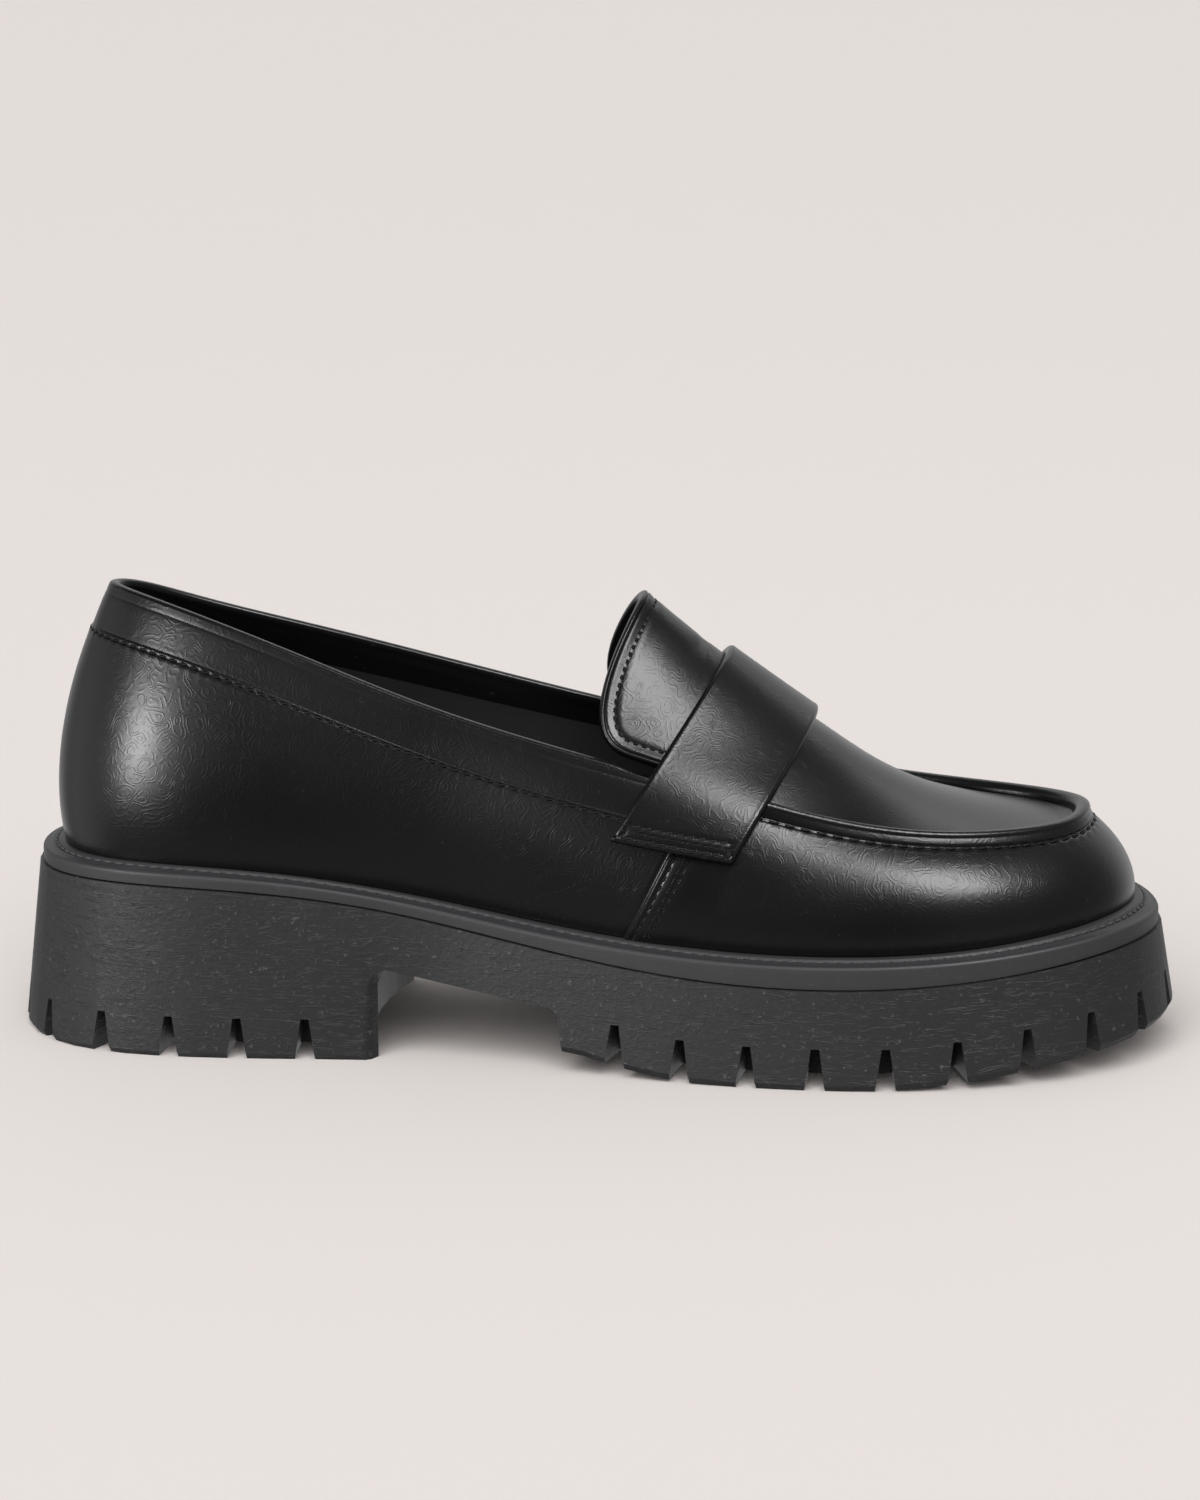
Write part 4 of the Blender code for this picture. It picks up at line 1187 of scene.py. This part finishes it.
def make_welt():
    """The welt: the smooth band round the shoe, with the sewn ledge on top of it."""
    u = np.linspace(0, ROUND, 705)
    ledge = closed_spline(EDGE_KNOTS, u)[:, 0]
    rows = []

    def add(inset, z_line):
        rows.append(sole_line(inset + 0 * u, z_line, u))

    add(0.0, lambda z, drop, tall: z - drop - tall + TOUCH_GAP)
    for share in (0.75, 0.5, 0.25):
        add(0.0, lambda z, drop, tall: z - drop - (1 - share) * BAND_ROUNDING - share * (tall - TOUCH_GAP))
    for angle in np.linspace(0, math.pi / 2, 7):
        dip = BAND_ROUNDING * (1 - math.sin(angle))
        add(BAND_ROUNDING * (1 - math.cos(angle)), lambda z, drop, tall: z - drop - dip)
    for inset, dip in LEDGE_PROFILE:
        slope = 1 - smooth_step(0.9, 4.6, inset)
        add(inset, lambda z, drop, tall: z - drop * slope - dip)
    add(ledge + 0.5, lambda z, drop, tall: z)
    for ring, shares in ((rows[-1], (0.5, 0.0)), (rows[0], (0.0, 0.5, 1.0))):
        for share in shares:
            rows.append(ring * (1, share, 1))
    points = np.stack(rows, 1)
    mesh = net(*points.shape[:2])
    pull(mesh, [points])
    close_net(mesh)
    write("welt_band", mesh, ["band rubber"], ("welt",))


def make_outsole():
    """The lugged outsole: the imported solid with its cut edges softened."""
    mesh = bmesh.new()
    mesh.from_mesh(NODES["outsole"].data)
    bmesh.ops.remove_doubles(mesh, verts=mesh.verts, dist=0.01 * MM)
    bmesh.ops.dissolve_limit(
        mesh, angle_limit=math.radians(FLAT_DEGREES), verts=mesh.verts, edges=mesh.edges, delimit=set(),
    )
    cut_edges = [edge for edge in mesh.edges if edge.calc_face_angle(0.0) > math.radians(CUT_DEGREES)]
    bmesh.ops.bevel(
        mesh, geom=cut_edges, offset=EDGE_SOFTNESS * MM, offset_type="OFFSET", segments=2, profile=0.5,
        affect="EDGES", clamp_overlap=True, material=-1,
    )
    piece = write("lugged_sole", mesh, ["charcoal rubber"], ("outsole",), 50)
    flat = piece.modifiers.new("flat faces", "WEIGHTED_NORMAL")
    flat.keep_sharp = True


def finish_insole():
    node_mesh = NODES["insole"].data
    node_mesh.materials.clear()
    node_mesh.materials.append(finish("lining"))


# The studio
def aim(name, data, azimuth, elevation, distance=0.0, target=(0.0, 0.0, 0.0)):
    """Adds a light or camera that faces a target. Azimuth 0 is in front, where the camera stands."""
    a, e = math.radians(azimuth), math.radians(elevation)
    back = Vector((math.sin(a) * math.cos(e), -math.cos(a) * math.cos(e), math.sin(e)))
    made = bpy.data.objects.new(name, data)
    turn = back.to_track_quat("Z", "Y").to_matrix().to_4x4()
    made.matrix_world = Matrix.Translation(Vector(target) + back * distance) @ turn
    bpy.context.scene.collection.objects.link(made)
    return made


def soft_box(name, azimuth, elevation, distance, size, radiance):
    """A light that shows in gloss only, as even light comes from the room and the sun."""
    data = bpy.data.lights.new(name, "AREA")
    data.shape = "RECTANGLE"
    data.size, data.size_y = size
    data.energy = radiance * math.pi * size[0] * size[1]
    aim(name, data, azimuth, elevation, distance, LIGHT_TARGET).visible_diffuse = False


def wide_sun():
    """One wide soft light from in front and above, which lights the floor evenly and isn't in gloss."""
    data = bpy.data.lights.new("ceiling", "SUN")
    data.energy, data.angle = SUN_STRENGTH, math.radians(SUN_DEGREES)
    aim("ceiling", data, *SUN_PLACE).visible_glossy = False


def make_camera():
    data = bpy.data.cameras.new("camera")
    data.lens, data.sensor_width = CAMERA_LENS, CAMERA_SENSOR
    bpy.context.scene.camera = aim("camera", data, *CAMERA_PLACE)


def light_the_air():
    """Even soft light all round. Gloss sees a darker room instead, which is brightest behind the shoe
    and far to the left, and the camera sees the paper."""
    world = bpy.data.worlds.new("studio")
    world.use_nodes = True
    tree = world.node_tree
    bpy.context.scene.world = world
    even = tree.nodes["Background"]
    seen, paper = (node(tree, "ShaderNodeBackground") for _ in range(2))
    even.inputs["Color"].default_value = (ROOM_LIGHT, ROOM_LIGHT, ROOM_LIGHT, 1)
    paper.inputs["Color"].default_value = (*BACKDROP, 1)
    direction = node(tree, "ShaderNodeSeparateXYZ")
    link(tree, node(tree, "ShaderNodeTexCoord").outputs["Generated"], direction.inputs[0])
    glow = 0.0
    for axis, *numbers in GLOSSY_ROOM:
        glow = sum_up(tree, "ADD", glow, between(tree, direction.outputs[axis], *numbers))
    link(tree, glow, seen.inputs["Color"])
    path, surface = node(tree, "ShaderNodeLightPath"), even.outputs[0]
    for ray, shown in (("Is Glossy Ray", seen), ("Is Camera Ray", paper)):
        choose = node(tree, "ShaderNodeMixShader")
        for source, socket in zip((path.outputs[ray], surface, shown.outputs[0]), choose.inputs):
            link(tree, source, socket)
        surface = choose.outputs[0]
    link(tree, surface, tree.nodes["World Output"].inputs["Surface"])


def make_stage():
    mesh = bmesh.new()
    bmesh.ops.create_grid(mesh, x_segments=1, y_segments=1, size=FLOOR_HALF)
    bmesh.ops.recalc_face_normals(mesh, faces=mesh.faces)
    data = bpy.data.meshes.new("studio_floor")
    mesh.to_mesh(data)
    mesh.free()
    data.shade_smooth()
    data.materials.append(finish("studio paper"))
    floor = bpy.data.objects.new("studio_floor", data)
    bpy.context.scene.collection.objects.link(floor)
    floor.visible_glossy = False
    for box in SOFT_BOXES:
        soft_box(*box)
    wide_sun()
    light_the_air()
    bpy.context.scene.view_settings.view_transform = "Standard"
    make_camera()


# The add-on
class LOAFER_OT_upper(bpy.types.Operator):
    """Lasts the upper: quarters, vamp, collar and lining, and the apron"""

    bl_idname = "loafer.upper"
    bl_label = "Last the Upper"

    def execute(self, context):
        make_upper()
        make_apron()
        make_upper_stitches()
        return {"FINISHED"}


class LOAFER_OT_tongue(bpy.types.Operator):
    """Sets the beaded tongue into the throat"""

    bl_idname = "loafer.tongue"
    bl_label = "Set the Tongue"

    def execute(self, context):
        make_tongue()
        make_tongue_stitches()
        return {"FINISHED"}


class LOAFER_OT_strap(bpy.types.Operator):
    """Lays the saddle strap over the instep"""

    bl_idname = "loafer.strap"
    bl_label = "Lay the Strap"

    def execute(self, context):
        make_strap_stitches(make_strap())
        return {"FINISHED"}


class LOAFER_OT_sole(bpy.types.Operator):
    """Finishes the outsole, the welt and the insole"""

    bl_idname = "loafer.sole"
    bl_label = "Finish the Sole"

    def execute(self, context):
        make_outsole()
        make_welt()
        make_welt_stitches()
        finish_insole()
        return {"FINISHED"}


class LOAFER_OT_stage(bpy.types.Operator):
    """Sets up the studio: paper, soft boxes and camera"""

    bl_idname = "loafer.stage"
    bl_label = "Set the Stage"

    def execute(self, context):
        make_stage()
        return {"FINISHED"}


class LOAFER_PT_panel(bpy.types.Panel):
    bl_idname = "LOAFER_PT_panel"
    bl_label = "Lug Sole Loafer"
    bl_space_type = "VIEW_3D"
    bl_region_type = "UI"
    bl_category = "Loafer"

    def draw(self, context):
        column = self.layout.column()
        for group in (context.scene.loafer_finish, context.scene.loafer_stitching):
            for name in group.__annotations__:
                column.prop(group, name)
        for step in STEPS:
            column.operator(step.bl_idname)


STEPS = (LOAFER_OT_upper, LOAFER_OT_tongue, LOAFER_OT_strap, LOAFER_OT_sole, LOAFER_OT_stage)
CLASSES = (LoaferFinish, LoaferStitching, *STEPS, LOAFER_PT_panel)


def register():
    for made in CLASSES:
        bpy.utils.register_class(made)
    bpy.types.Scene.loafer_finish = PointerProperty(type=LoaferFinish)
    bpy.types.Scene.loafer_stitching = PointerProperty(type=LoaferStitching)


def unregister():
    del bpy.types.Scene.loafer_stitching
    del bpy.types.Scene.loafer_finish
    for made in reversed(CLASSES):
        bpy.utils.unregister_class(made)


def main():
    register()
    bpy.ops.loafer.upper()
    bpy.ops.loafer.tongue()
    bpy.ops.loafer.strap()
    bpy.ops.loafer.sole()
    bpy.ops.loafer.stage()


if __name__ == "__main__":
    main()
